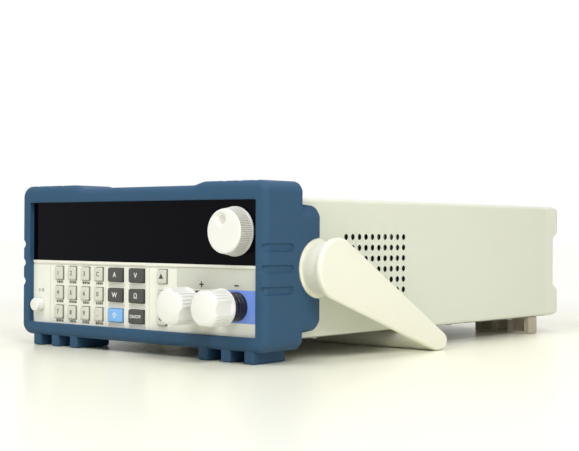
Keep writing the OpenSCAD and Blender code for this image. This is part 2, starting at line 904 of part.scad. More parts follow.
// Bottom tray inside the cover, with a flange folded up at its rear edge
module bottom_chassis() {
  tray_w = case_w - 2 * sheet_t - 2 * seat_gap;
  tray_y0 = panel_back + eps;
  tray_d = rear_panel_y - tray_y0 - eps;
  flange_w = tray_w - 2 * lip_w - 2;
  color(metal) difference() {
    union() {
      along_y(tray_y0, tray_y0 + tray_d) intersection() {
        case_outline();
        translate([-tray_w / 2, case_z0]) square([tray_w, sheet_t]);
      }
      translate([-flange_w / 2, tray_y0 + tray_d - sheet_t, case_z0])
        cube([flange_w, sheet_t, tray_flange_h]);
    }
    at_cover_screws() translate([0, 0, -1]) cylinder(r = screw_r + eps, h = sheet_t + 2);
  }
}

// Screws that come up through the tray into the cover's lips
module cover_screws() {
  head_t = 1;
  screw_l = 2 * sheet_t + seat_gap + 2;
  color(metal) at_cover_screws() {
    translate([0, 0, -head_t - eps]) cylinder(r1 = 1.5 * screw_r, r2 = 2 * screw_r, h = head_t);
    translate([0, 0, -2 * eps]) cylinder(r = screw_r, h = screw_l);
  }
}

// Side view of the rear end between two heights, with its rear corners rounded
function rear_profile(low, high) = concat(
  [[case_end, low]],
  ellipse_arc([rear_y - prong_round_l, low + prong_round], prong_round_l, prong_round, -90, 0),
  ellipse_arc([rear_y - prong_round_l, high - prong_round], prong_round_l, prong_round, 0, 90),
  [[case_end, high]]
);

// Moulded frame round the rear end, with a rounded prong at every corner
module rear_bezel() {
  slope = 3;
  reach = prong_l + 1;
  lean = slope * reach / prong_l;
  color(ivory) difference() {
    intersection() {
      along_y(case_end + eps, rear_y) difference() {
        case_outline();
        translate([0, mid_z])
          round_rect(case_w - 2 * bezel_rim, case_h - 2 * bezel_rim, case_r);
      }
      along_x(-case_w, case_w) polygon(rear_profile(case_z0, case_z1));
      linear_extrude(2 * case_h) mirror([1, -1, 0]) polygon(rear_profile(-half_w, half_w));
    }
    along_x(-case_w, case_w) polygon([
      [bezel_end, mid_z - prong_gap_h / 2], [bezel_end + reach, mid_z - prong_gap_h / 2 - lean],
      [bezel_end + reach, mid_z + prong_gap_h / 2 + lean], [bezel_end, mid_z + prong_gap_h / 2]
    ]);
    translate([0, 0, -case_h]) linear_extrude(3 * case_h) polygon([
      [-prong_gap_w / 2, bezel_end], [-prong_gap_w / 2 - lean, bezel_end + reach],
      [prong_gap_w / 2 + lean, bezel_end + reach], [prong_gap_w / 2, bezel_end]
    ]);
  }
}

// Plate that closes the rear end, with the holes of fan and connectors
module rear_panel() {
  color(metal) difference() {
    along_y(rear_panel_y, case_end - eps) intersection() {
      case_outline(-sheet_t - seat_gap);
      translate([-case_w, case_z0 + sheet_t + seat_gap]) square([2 * case_w, case_h]);
    }
    facing_rear(fan_x, rear_panel_y - 1, fan_z) {
      cylinder(r = fan_bore_r, h = sheet_t + 2);
      for (x = [-1, 1], z = [-1, 1])
        translate([x * fan_hole, z * fan_hole, 0]) cylinder(r = fan_screw_r, h = sheet_t + 2);
    }
    facing_rear(inlet_x, rear_panel_y - 1, inlet_z) linear_extrude(sheet_t + 2)
      round_rect(inlet_body_w + 2 * seat_gap, inlet_body_h + 2 * seat_gap, 2);
    facing_rear(connector_x, rear_panel_y - 1, serial_z) linear_extrude(sheet_t + 2)
      round_rect(serial_w + 2 * seat_gap, serial_h + 2 * seat_gap, 1.5);
    facing_rear(connector_x, rear_panel_y - 1, sense_z) linear_extrude(sheet_t + 2)
      square([sense_w + 2 * seat_gap, sense_h + 2 * seat_gap], center = true);
  }
}

// Rubber blocks under the rear edge, with hollow cells in their front faces
module rear_feet() {
  cells = 3;
  cell_wall = 4;
  cell_depth = 0.4 * rear_foot_d;
  cell_w = (rear_foot_w - (cells + 1) * cell_wall) / cells;
  foot_y = case_end - rear_foot_ahead;
  color(foot_grey) for (side = [-1, 1])
    mirror([side < 0 ? 1 : 0, 0, 0]) translate([half_w - 1 - rear_foot_w, foot_y, 0]) difference() {
      translate([rear_foot_w / 2, 0, (case_z0 - eps) / 2])
        along_y(0, rear_foot_d) round_rect(rear_foot_w, case_z0 - eps, 1.2);
      for (i = [0:cells - 1])
        translate([cell_wall + i * (cell_w + cell_wall), -1, cell_wall / 2])
          cube([cell_w, cell_depth + 1, case_z0 - cell_wall]);
    }
}

// Fan

module fan_frame() {
  web_t = 4;
  spoke_w = 4;
  color("dimgray") facing_rear(fan_x, fan_y0, fan_z) {
    difference() {
      linear_extrude(fan_d - eps) round_rect(fan_w, fan_w, 4);
      translate([0, 0, -1]) cylinder(r = fan_bore_r - 0.5, h = fan_d + 2);
      for (x = [-1, 1], z = [-1, 1])
        translate([x * fan_hole, z * fan_hole, -1]) cylinder(r = fan_screw_r, h = fan_d + 2);
    }
    cylinder(r = fan_hub_r, h = web_t);
    for (a = [45:90:315]) rotate(a)
      translate([0, -spoke_w / 2, 0]) cube([fan_bore_r, spoke_w, web_t]);
    cylinder(r = axle_r, h = fan_d - 4);
  }
}

// Section of a blade across its length: an arc with an even thickness, set at a pitch
module blade_section(chord, thick, camber_r, pitch) {
  rotate(pitch) translate([0, -camber_r]) intersection() {
    difference() {
      circle(camber_r + thick / 2, $fn = 96);
      circle(camber_r - thick / 2, $fn = 96);
    }
    translate([-chord / 2, camber_r / 2]) square([chord, camber_r]);
  }
}

// Hub with pitched and cambered blades, running on the frame's axle
module fan_impeller() {
  hub_z0 = 4 + slip_gap;
  hub_l = fan_d - 6;
  blade_t = 1.4;
  blade_pitch = 42;
  blade_r = fan_bore_r - 2;
  blade_chord = 1.35 * hub_l;
  blade_camber = 1.1 * hub_l;
  color("black") facing_rear(fan_x, fan_y0 + hub_z0, fan_z) difference() {
    union() {
      cylinder(r = fan_hub_r, h = hub_l);
      intersection() {
        translate([0, 0, 1]) cylinder(r = blade_r, h = hub_l - 2);
        for (i = [0:fan_blades - 1]) rotate(i * 360 / fan_blades) translate([0, 0, hub_l / 2])
          along_x(fan_hub_r - 2, blade_r + 1)
            blade_section(blade_chord, blade_t, blade_camber, blade_pitch);
      }
    }
    translate([0, 0, -1]) cylinder(r = axle_r + run_gap, h = hub_l);
  }
}

// Wire guard outside the rear panel
module fan_guard() {
  wire_r = 0.9;
  rings = 4;
  ring_step = (fan_bore_r - 4) / rings;
  guard_z = sheet_t + wire_r + eps;
  leg = fan_hole * sqrt(2);
  color(metal) facing_rear(fan_x, rear_panel_y, fan_z) {
    for (i = [1:rings]) translate([0, 0, guard_z + wire_r])
      rotate_extrude() translate([i * ring_step + 2, 0]) circle(wire_r, $fn = 16);
    for (a = [45, 135]) rotate(a) translate([-leg, 0, guard_z])
      rotate([0, 90, 0]) cylinder(r = wire_r, h = 2 * leg, $fn = 16);
    for (x = [-1, 1], z = [-1, 1]) translate([x * fan_hole, z * fan_hole, -fan_d / 2])
      cylinder(r = fan_screw_r - 0.4, h = fan_d / 2 + guard_z + 2);
  }
}

// Rear connectors

inlet_w = 30;
inlet_h = 24;
inlet_body_w = 28;
inlet_body_h = 20;
inlet_mouth_w = 24;
inlet_mouth_h = 16.6;
inlet_depth = 17;
inlet_flange = 3;
serial_w = 18;
serial_h = 10;
sense_w = 24;
sense_h = 11;

// Mains inlet: shroud with three short blades deep in its mouth
module mains_inlet() {
  pin_l = 7;
  wall = 2;
  pins = [[-7, -2], [0, 2], [7, -2]];
  ear_x = 18;
  color("#222222") facing_rear(inlet_x, case_end, inlet_z) {
    difference() {
      union() {
        linear_extrude(inlet_flange) {
          round_rect(inlet_w, inlet_h, 2);
          pill(2 * ear_x + 9, 9);
        }
        translate([0, 0, -inlet_depth]) linear_extrude(inlet_depth + 1)
          round_rect(inlet_body_w, inlet_body_h, 2);
      }
      translate([0, 0, wall - inlet_depth]) linear_extrude(inlet_depth + inlet_flange)
        round_rect(inlet_mouth_w, inlet_mouth_h, 3);
      for (x = [-1, 1]) translate([x * ear_x, 0, -1]) cylinder(r = screw_r, h = inlet_flange + 2);
    }
    for (p = pins) translate([p[0] - 1, p[1] - 2, wall - inlet_depth - eps]) cube([2, 4, pin_l]);
  }
}

// D-shaped outline of the serial socket, drawn in by a margin
module d_outline(margin) {
  slant = 1.4;
  w = serial_w / 2 - margin;
  h = serial_h / 2 - margin;
  polygon([[slant - w, -h], [w - slant, -h], [w, h], [-w, h]]);
}

// Nine-way serial socket: metal shell round an insulator with holes, between two jack screws
module serial_socket() {
  shell_l = 6;
  shell_in = 1;
  shell_wall = 0.7;
  insulator_l = 5.2;
  body_l = 10;
  plate_t = 1;
  plate_w = 31;
  plate_h = 12.5;
  pin_r = 0.6;
  pin_pitch = 2.77;
  jack_x = 12.5;
  jack_l = 5;
  jack_r = 2.6;
  color(metal) facing_rear(connector_x, case_end, serial_z) difference() {
    union() {
      linear_extrude(plate_t) round_rect(plate_w, plate_h, 2);
      translate([0, 0, -body_l]) linear_extrude(body_l + eps) round_rect(serial_w, serial_h, 1.5);
      linear_extrude(shell_l) d_outline(shell_in);
      for (x = [-jack_x, jack_x]) translate([x, 0, 0]) cylinder(r = jack_r, h = jack_l, $fn = 6);
    }
    translate([0, 0, insulator_l]) linear_extrude(shell_l) d_outline(shell_in + shell_wall);
    for (row = [0, 1], i = [0:4 - row])
      translate([(i - 2 + row / 2) * pin_pitch, (0.5 - row) * pin_pitch, plate_t])
        cylinder(r = pin_r, h = shell_l);
    for (x = [-jack_x, jack_x]) translate([x, 0, plate_t]) cylinder(r = screw_r, h = jack_l);
  }
}

// Four-way screw terminal for the remote sense wires
module sense_terminals() {
  ways = 4;
  way_w = (sense_w - 2) / ways;
  body_l = 12;
  front_l = 8;
  color("forestgreen") facing_rear(connector_x, case_end, sense_z) difference() {
    translate([0, 0, (front_l - body_l) / 2]) cube([sense_w, sense_h, front_l + body_l], center = true);
    for (i = [0:ways - 1]) translate([(i - (ways - 1) / 2) * way_w, 0, 0]) {
      translate([0, -1.5, front_l - 5]) cylinder(r = 1.6, h = 6);
      translate([0, sense_h / 2 - 1, front_l / 2]) rotate([-90, 0, 0]) cylinder(r = 1.8, h = 2);
    }
  }
}

// Electronics

// Upright wall with level fins, set in the air stream of the fan
module heat_sink() {
  fin_span = sink_top - floor_z;
  color(metal) along_y(sink_y0, sink_y1) {
    translate([sink_x0, floor_z + eps]) square([sink_wall, fin_span]);
    for (i = [0:sink_fins - 1])
      translate([sink_x0 + sink_wall - eps, floor_z + eps + i * (fin_span - fin_t) / (sink_fins - 1)])
        square([sink_w - sink_wall, fin_t]);
  }
}

// Row of transistors on the heat sink's wall
module power_transistors() {
  count = 6;
  body_t = 5;
  body_w = 16;
  body_h = 21;
  lead_r = 0.7;
  lead_l = 8;
  lead_pitch = 5.4;
  body_lift = 26;
  step = sink_d / count;
  color("#333333") for (i = [0:count - 1])
    translate([sink_x0 - body_t - eps, sink_y0 + (i + 0.5) * step - body_w / 2, floor_z + body_lift]) {
      cube([body_t, body_w, body_h]);
      for (j = [-1:1])
        translate([body_t / 2, body_w / 2 + j * lead_pitch, -lead_l])
          cylinder(r = lead_r, h = lead_l + eps, $fn = 12);
    }
}

board_corner = 5;

// Main board with its capacitors and relay
module main_board() {
  tall = 30;
  color(board_green) {
    translate([board_x0, board_y0, board_z]) cube([board_w, board_d, pcb_t]);
    for (i = [0:2]) translate([board_x0 + 14, board_y0 + 26 + i * 24, board_z + pcb_t - eps])
      cylinder(r = 9, h = tall);
    translate([board_x0 + board_w - 28, board_y0 + 20, board_z + pcb_t - eps]) cube([16, 28, 16]);
    translate([board_x0 + board_w - 30, board_y0 + 70, board_z + pcb_t - eps]) cube([20, 36, 4]);
  }
}

// Spacers between the tray and the main board
module standoffs() {
  spacer_r = 3;
  color(metal) for (x = [board_corner, board_w - board_corner], y = [board_corner, board_d - board_corner])
    translate([board_x0 + x, board_y0 + y, floor_z + eps])
      cylinder(r = spacer_r, h = board_z - floor_z - 2 * eps, $fn = 6);
}

// Laminated core on a foot plate, with the winding through its windows
module transformer() {
  core_h = 0.82 * core_w;
  core_d = 0.6 * core_w;
  leg = core_w / 6;
  coil_over = 8;
  coil_d = core_d + 2 * coil_over;
  base_t = 2;
  core_gap = 2;
  core_x = board_x0 + core_w / 2 + core_gap;
  color("saddlebrown") translate([core_x, transformer_y0 + coil_d / 2, floor_z + eps]) {
    translate([-core_w / 2, -core_d / 2, 0]) cube([core_w, core_d, base_t]);
    difference() {
      translate([-core_w / 2, -core_d / 2, base_t - eps]) cube([core_w, core_d, core_h]);
      for (s = [-1, 1])
        translate([s * 1.5 * leg - leg / 2, -core_d, base_t + leg])
          cube([leg, 2 * core_d, core_h - 2 * leg]);
    }
    translate([-1.9 * leg, -coil_d / 2, base_t + leg + 0.5]) difference() {
      cube([3.8 * leg, coil_d, core_h - 2 * leg - 1]);
      translate([-1, (coil_d - core_d) / 2 - eps, -1]) cube([1 + 0.1 * leg, core_d + 2 * eps, core_h]);
    }
  }
}

// Handle

// Head, toe and grip end of an arm about the pivot, drawn in by a margin; the straight
// edges between them touch all three
module arm_ends(margin) {
  grip_at = [grip_y - pivot_y, grip_z - pivot_z];
  circle(head_r - margin);
  translate(grip_at) circle(grip_r - margin);
  translate(grip_at + [-grip_flat, toe_r - grip_r]) circle(toe_r - margin);
}

// Plate of an arm, flat inside and with a round rim outside
module arm_plate() {
  steps = 3;
  hull() {
    along_x(arm_in, arm_x - arm_edge) arm_ends(0);
    for (i = [1:steps]) {
      a = 90 * i / steps;
      x = arm_x - arm_edge * (1 - sin(a));
      along_x(x - eps, x) arm_ends(arm_edge * (1 - cos(a)));
    }
  }
}

// Section of the grip bar about the pivot
module grip_outline() {
  translate([grip_y - pivot_y, grip_z - pivot_z]) {
    circle(grip_r);
    translate([-grip_flat, 0]) circle(grip_r);
    translate([-grip_flat, -grip_r]) square([grip_flat, 2 * grip_r]);
  }
}

// Arm on the right: plate, boss that turns on the hub's spigot, and a stiffening rib
module handle_arm() {
  arm_angle = atan2(grip_z - pivot_z, grip_y - pivot_y);
  arm_l = norm([grip_y - pivot_y, grip_z - pivot_z]);
  translate([0, pivot_y, pivot_z]) difference() {
    union() {
      arm_plate();
      along_x(hub_out + slip_gap, arm_in + eps) circle(boss_r);
      along_x(arm_in - rib_t, arm_in + eps) rotate(arm_angle) translate([0, -rib_half])
        square([arm_l - 2 * grip_r - grip_flat, 2 * rib_half]);
    }
    along_x(0, hub_out + spigot_l + 0.4) circle(spigot_r + run_gap);
    along_x(0, arm_in + arm_t / 2)
      translate([grip_y - pivot_y - grip_flat / 2, grip_z - pivot_z]) circle(tenon_r + eps);
  }
}

module handle_arm_right() {
  color(ivory) handle_arm();
}

module handle_arm_left() {
  color(ivory) mirror([1, 0, 0]) handle_arm();
}

// Bar between the arms, with a tenon in each
module handle_grip() {
  tenon_l = arm_t / 2 - seat_gap;
  color(ivory) translate([0, pivot_y, pivot_z]) {
    along_x(-arm_in + eps, arm_in - eps) grip_outline();
    along_x(-arm_in - tenon_l, arm_in + tenon_l)
      translate([grip_y - pivot_y - grip_flat / 2, grip_z - pivot_z]) circle(tenon_r);
  }
}

// Flanged hubs on the case's sides, each with a spigot for its arm
module pivot_hubs() {
  hub_l = hub_out - half_w;
  soft = 0.6;
  profile = concat(
    [[0, eps], [hub_r - hub_lip, eps], [hub_r - hub_lip, hub_l - hub_lip_t], [hub_r, hub_l - hub_lip_t]],
    quarter_round(hub_r, hub_l, soft),
    [[spigot_r, hub_l], [spigot_r, hub_l + spigot_l - soft], [spigot_r - soft, hub_l + spigot_l]],
    [[0, hub_l + spigot_l]]
  );
  color(ivory) for (side = [0, 1]) mirror([side, 0, 0])
    translate([half_w, pivot_y, pivot_z]) rotate([0, 90, 0]) rotate_extrude() polygon(profile);
}

front_bumper();
front_panel();
display_window();
display_module();
control_knob();
encoder_shaft();
rotary_encoder();
power_button();
power_switch();
number_key(0, 0);  // key_1
number_key(0, 1);  // key_2
number_key(0, 2);  // key_3
number_key(0, 3);  // key_clear
number_key(1, 0);  // key_4
number_key(1, 1);  // key_5
number_key(1, 2);  // key_6
number_key(1, 3);  // key_0
number_key(2, 0);  // key_7
number_key(2, 1);  // key_8
number_key(2, 2);  // key_9
number_key(2, 3);  // key_point
function_key(0, 0);  // key_current
function_key(0, 1);  // key_voltage
function_key(1, 0);  // key_power
function_key(1, 1);  // key_resistance
function_key(2, 0, key_blue);  // key_shift
function_key(2, 1);  // key_on_off
cursor_key(0);  // key_up
cursor_key(1);  // key_down
cursor_key(2);  // key_enter
keypad_mat();
control_board();
positive_cap();
negative_cap();
positive_washer();
negative_washer();
positive_base();
negative_base();
post_hardware();
top_cover();
bottom_chassis();
rear_bezel();
rear_panel();
fan_frame();
fan_impeller();
fan_guard();
mains_inlet();
serial_socket();
sense_terminals();
transformer();
heat_sink();
power_transistors();
main_board();
standoffs();
cover_screws();
rear_feet();
handle_arm_right();
handle_arm_left();
handle_grip();
pivot_hubs();
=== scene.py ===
"""Looks of a bench-top DC electronic load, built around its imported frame.

Each new piece is a surface worked out with numpy from the frame's boxes and joints and from the
sizes in the property groups. Front is -Y, up is +Z, and lengths are metres.
"""
import json
import math

import bmesh
import bpy
import numpy as np
from bpy.props import FloatProperty, FloatVectorProperty, IntProperty, PointerProperty
from mathutils import Matrix, Vector


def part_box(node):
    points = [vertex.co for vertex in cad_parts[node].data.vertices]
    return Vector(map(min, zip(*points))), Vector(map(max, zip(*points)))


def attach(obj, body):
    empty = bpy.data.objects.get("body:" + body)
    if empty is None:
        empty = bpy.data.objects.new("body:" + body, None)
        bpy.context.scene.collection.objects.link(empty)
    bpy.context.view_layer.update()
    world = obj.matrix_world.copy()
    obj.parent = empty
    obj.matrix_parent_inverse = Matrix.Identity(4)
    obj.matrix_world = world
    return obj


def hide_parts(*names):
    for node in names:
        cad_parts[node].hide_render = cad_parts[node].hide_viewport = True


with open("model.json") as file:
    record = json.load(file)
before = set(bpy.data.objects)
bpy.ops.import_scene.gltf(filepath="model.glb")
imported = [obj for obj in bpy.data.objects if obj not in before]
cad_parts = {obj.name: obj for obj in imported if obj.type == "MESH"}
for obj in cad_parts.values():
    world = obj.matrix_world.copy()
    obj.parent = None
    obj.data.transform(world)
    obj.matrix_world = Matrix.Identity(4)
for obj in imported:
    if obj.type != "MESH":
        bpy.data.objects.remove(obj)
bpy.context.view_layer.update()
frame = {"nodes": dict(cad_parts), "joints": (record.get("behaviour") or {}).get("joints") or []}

bl_info = {
    "name": "Bench load looks",
    "version": (1, 0, 0),
    "blender": (4, 5, 0),
    "location": "View3D > Sidebar > Bench load",
    "description": "Moulded, printed and plated surfaces of a DC electronic load",
    "category": "Object",
}

MM = 0.001

# Places taken from the frame
JOINTS = {joint["name"]: joint for joint in frame["joints"]}
PIVOT = Vector(JOINTS["handle_swing"]["pos_m"])
KNOB = Vector(JOINTS["knob_turn"]["pos_m"])
CASE_LOW, CASE_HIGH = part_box("front_panel")
BUMPER_LOW, BUMPER_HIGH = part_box("front_bumper")
BEZEL_LOW, BEZEL_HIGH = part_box("rear_bezel")
PANEL_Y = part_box("display_window")[0].y
WINDOW_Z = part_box("display_window")[0].z
PANEL_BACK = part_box("top_cover")[0].y
FRONT_Y = BUMPER_LOW.y
MID_Z = (CASE_LOW.z + CASE_HIGH.z) / 2
CASE_W = CASE_HIGH.x - CASE_LOW.x
CASE_H = CASE_HIGH.z - CASE_LOW.z

# A point of an outline lies on a straight side where its normal passes this share of an axis
STRAIGHT = 0.999

# Signs on the keys
NUMBER_KEYS = {
    "key_1": "1", "key_2": "2", "key_3": "3", "key_clear": "C",
    "key_4": "4", "key_5": "5", "key_6": "6", "key_0": "0",
    "key_7": "7", "key_8": "8", "key_9": "9", "key_point": ".",
}
FUNCTION_KEYS = {
    "key_current": "A", "key_voltage": "V", "key_power": "W",
    "key_resistance": "Ω", "key_shift": "⇧", "key_on_off": "ON/OFF",
}
CURSOR_KEYS = {"key_up": "▲", "key_down": "▼", "key_enter": "●"}


def length(name, description, millimetres):
    """Length property whose default is given in millimetres."""
    return FloatProperty(name=name, description=description, default=millimetres * MM,
                         unit="LENGTH", precision=5)


def colour(name, description, red, green, blue):
    """Colour property whose default is given as 8-bit display values, turned linear."""
    display = np.array([red, green, blue]) / 255
    linear = np.where(display < 0.04045, display / 12.92, ((display + 0.055) / 1.055) ** 2.4)
    return FloatVectorProperty(name=name, description=description, subtype="COLOR", size=3,
                               min=0, max=1, default=tuple(linear))


def position(name, description, metres):
    """Place property, given in metres."""
    return FloatVectorProperty(name=name, description=description, subtype="TRANSLATION", size=3,
                               default=metres)


def rotation(name, description, radians):
    """Angle property, given in radians."""
    return FloatProperty(name=name, description=description, subtype="ANGLE", default=radians)


def wattage(name, description, watts):
    """Power property of a lamp, given in watts."""
    return FloatProperty(name=name, description=description, unit="POWER", default=watts)


class BumperSizes(bpy.types.PropertyGroup):
    """Sizes of the rubber bumper round the front."""

    floor: length("Floor", "Thickness under the case", 6)
    lip_side: length("Lip at the sides", "How far the lip covers the panel's sides", 1)
    lip_top: length("Lip at the top", "How far the lip covers the panel's top", 2)
    lip_bottom: length("Lip at the bottom", "How far the lip covers the panel's bottom", 2.7)
    opening_corner: length("Opening corner", "Radius of the opening's corners", 1.2)
    pocket_gap: length("Pocket gap", "Room round the case", 0.1)
    pocket_corner: length("Pocket corner", "Radius of the corners that take the case", 3.1)
    corner: length("Corner", "Radius of the outer corners", 8)
    edge: length("Front edge", "Rounding of the front edge", 4.5)
    small_edge: length("Small edges", "Rounding of the other edges", 0.8)
    depth: length("Depth", "Depth without the tabs", 34.2)
    pad_rise: length("Pad rise", "Rise of the corner pads", 2.3)
    pad_width: length("Pad width", "Width of a corner pad with its ramp", 65)
    pad_ramp: length("Pad ramp", "Length of the ramp at a pad's inner end", 12)
    tab_half: length("Tab height", "Half height of the tabs about the pivot", 39)
    tab_corner: length("Tab corner", "Radius of the tabs' corners", 7)
    tab_bevel: length("Tab bevel", "Depth of the bevel at the tabs' ends", 2)
    tab_bevel_height: length("Tab bevel height", "Height of the bevel at the tabs' ends", 7)
    hub_gap: length("Hub gap", "Room round the hub's flange", 0.4)
    groove_end: length("Groove end", "Rear end of the finger grooves behind the front", 25.7)
    groove_height: length("Groove height", "Height of a finger groove", 5)
    groove_depth: length("Groove depth", "Depth of a finger groove", 1.2)
    groove_pitch: length("Groove pitch", "Distance between finger grooves", 13)
    pad_groove_inset: length("Pad groove inset", "Middle groove of a pad from the side", 26)
    foot_width: length("Foot width", "Width of a front foot", 46.5)
    foot_depth: length("Foot depth", "Depth of a front foot", 30)
    foot_inset: length("Foot inset", "Foot from the bumper's side", 11.6)
    foot_setback: length("Foot setback", "Foot behind the bumper's front", 1.8)
    fin_width: length("Fin width", "Width of one fin of a foot", 8)
    foot_edge: length("Foot edge", "Rounding of a foot's edges", 1.4)


class KnobSizes(bpy.types.PropertyGroup):
    """Sizes of the control knob."""

    rim: length("Rim", "Thickness of the rim at the panel", 1.6)
    fluted: length("Fluted length", "Length of the fluted side", 8.06)
    flute_depth: length("Flute depth", "Depth of the flutes", 0.9)
    front_diameter: length("Front diameter", "Diameter of the front face", 27.4)
    front_edge: length("Front edge", "Rounding of the front edge", 1.2)
    recess: length("Recess", "Depth of the recess at the back", 3.4)
    recess_radius: length("Recess radius", "Radius of the recess", 7.6)
    dimple_radius: length("Dimple radius", "Sphere that cuts the finger dimple", 6)
    dimple_depth: length("Dimple depth", "Depth of the finger dimple", 2.2)
    dimple_place: length("Dimple place", "Finger dimple from the knob's middle", 7.5)
    dimple_turn: rotation("Dimple turn", "Turn of the finger dimple from the right", math.radians(108))
    flutes: IntProperty(name="Flutes", description="Number of flutes", default=78, min=12)


class PostSizes(bpy.types.PropertyGroup):
    """Sizes of the binding posts' caps."""

    diameter: length("Diameter", "Diameter of a cap", 23.2)
    flange: length("Flange", "Length of the plain flange at the rear", 1.8)
    nose: length("Nose", "Rounding of the front edge", 3.7)
    dome: length("Dome", "Rise of the front face", 1)
    scoop_depth: length("Scoop depth", "Depth of a finger scoop", 1.5)
    scoop_radius: length("Scoop radius", "Radius of a finger scoop", 12.8)
    rib_depth: length("Rib depth", "Depth of the grooves between ribs", 0.6)
    bore: length("Bore", "Radius of the threaded bore", 3.05)
    bore_depth: length("Bore depth", "Depth of the threaded bore", 14.4)
    positive_turn: rotation("Positive turn", "Turn of the left cap's grip", math.radians(65))
    negative_turn: rotation("Negative turn", "Turn of the right cap's grip", math.radians(-2))


class HandleSizes(bpy.types.PropertyGroup):
    """Sizes of the bail handle and its hubs."""

    head: length("Head", "Radius of an arm's head", 19.1)
    plate: length("Plate", "Thickness of an arm", 4)
    rim: length("Rim", "Rounding of the arm's outer rim", 1.8)
    small_edge: length("Small edges", "Rounding of the other edges", 0.7)
    boss: length("Boss", "Radius of the boss on an arm", 16.3)
    rib: length("Rib", "Thickness of the arm's inner rib", 4)
    rib_half: length("Rib width", "Half width of the arm's inner rib", 5)
    grip: length("Grip", "Radius of the grip bar", 6)
    grip_flat: length("Grip flat", "Flat stretch of the grip bar", 7)
    toe: length("Toe", "Radius of an arm's lower corner", 2.4)
    hub_lip: length("Hub lip", "Thickness of a hub's flange", 1.6)
    hub_gap: length("Hub gap", "Room between a hub's flange and the arm", 0.08)
    spigot: length("Spigot", "Radius of the spigot that an arm turns on", 8)
    bore: length("Bore", "Radius of the arm's bore for the spigot", 8.05)
    bore_room: length("Bore room", "Room in the bore beyond the spigot's end", 0.2)


class BezelSizes(bpy.types.PropertyGroup):
    """Sizes of the moulded frame at the rear."""

    rim: length("Rim", "Width of the frame", 8)
    corner: length("Corner", "Radius of the corners", 3)
    prong: length("Prong", "Length of the corner prongs", 9.5)
    gap_height: length("Gap height", "Height of the gap between prongs", 37.8)
    gap_width: length("Gap width", "Width of the gap between prongs", 126)
    slope: length("Slope", "Lean of the prongs' ends", 5)
    round_length: length("Rounding length", "Length of the rounding at the prongs' ends", 10)
    round_depth: length("Rounding depth", "Depth of the rounding above and below", 4)
    side_depth: length("Side depth", "Depth of the rounding at the sides", 1.6)
    soft: length("Small edges", "Rounding of the other edges", 0.5)


class PrintAndShadeSizes(bpy.types.PropertyGroup):
    """Places of the panel's print in the frame, and its sizes, with the painted shade lines under the
    ridge and in the grooves between the groups of keys.
    """

    grey_left: length("Grey left", "Left edge of the grey field", 36.5)
    grey_low: length("Grey bottom", "Lower edge of the grey field", 44)
    blue_left: length("Blue left", "Left edge of the blue field", 72)
    blue_low: length("Blue bottom", "Lower edge of the blue field", 24.2)
    blue_high: length("Blue top", "Upper edge of the blue field", 44.3)
    ridge: length("Ridge", "Height of the ridge under the window", 2)
    # Painted shade line under the ridge, where the ridge stands proud
    shade_gap: length("Shade gap", "Shade line below the ridge", 0.5)
    shade: length("Shade", "Width of the shade line", 0.7)
    # Painted shade lines in the thin grooves between the groups of keys
    line: length("Line", "Width of the lines between the groups of keys", 0.6)
    line_left: length("Left line", "Place of the line beside the power button", -88)
    line_middle: length("Middle line", "Place of the line beside the function keys", -31)
    line_right: length("Right line", "Place of the line beside the cursor keys", 11.3)
    band: length("Band", "Height of the bands under the function keys", 2.6)
    post_sign: length("Post sign", "Size of the signs over the posts", 7.4)
    post_level: length("Post sign level", "Height of the signs over the posts", 46.6)
    power_sign: length("Power sign", "Size of the sign over the button", 3)
    power_rise: length("Power sign rise", "Sign above the button's middle", 10)
    power_shift: length("Power sign shift", "Sign to the right of the button's middle", 1)
    mark: length("Marks", "Height of the small marks", 1.5)
    mark_gap: length("Mark gap", "Gap between small marks", 0.35)
    key_sign: length("Key sign", "Size of a sign on an ivory key", 4.2)
    function_sign: length("Function sign", "Size of a sign on a function key", 4.6)
    long_sign: length("Long sign", "Size of a sign of several letters", 2.9)


class Colours(bpy.types.PropertyGroup):
    """Colours of the finishes."""

    bumper: colour("Bumper", "Blue rubber of the bumper", 44, 79, 109)
    ivory: colour("Ivory", "Moulded panel", 240, 240, 228)
    handle: colour("Handle", "Moulded handle and hubs", 240, 239, 222)
    bright: colour("Bright ivory", "Knob, button and screw caps", 234, 234, 229)
    paint: colour("Paint", "Powder coat of the cover and the rear panel", 222, 225, 210)
    bezel: colour("Bezel", "Moulded rear frame", 227, 228, 214)
    key_ivory: colour("Ivory keys", "Number and cursor keys", 210, 210, 198)
    # Painted shade on the flanks of the ivory keys
    flank_shade: colour("Key skirt", "Flanks of the ivory keys", 138, 136, 124)
    window: colour("Window", "Smoked display window", 4, 4, 11)
    key_grey: colour("Grey keys", "Function keys", 68, 68, 66)
    key_blue: colour("Blue key", "Shift key", 126, 182, 240)
    # Grey of the print, also used for the painted shade lines under the ridge and in the grooves between the
    # groups of keys
    grey_print_and_shade: colour("Grey print", "Grey field of the panel print", 212, 214, 202)
    blue_print: colour("Blue print", "Blue field of the panel print", 128, 162, 248)
    band: colour("Band", "Pale bands under the function keys", 208, 208, 200)
    ink: colour("Ink", "Dark legend ink", 52, 52, 54)
    small_ink: colour("Small ink", "Ink of the small marks", 104, 100, 92)
    # Painted shade for the inside of the cover and its vents; also the dark colour of the socket's insulator
    inside: colour("Inside", "Unpainted inside of the cover, and the socket's insulator", 22, 22, 22)
    foot: colour("Feet", "Rubber of the rear feet", 178, 170, 152)
    post_black: colour("Black collar", "Insulator of the negative post", 25, 20, 35)
    post_red: colour("Red collar", "Insulator of the positive post", 70, 14, 18)
    floor: colour("Floor", "Pale floor", 249, 248, 230)


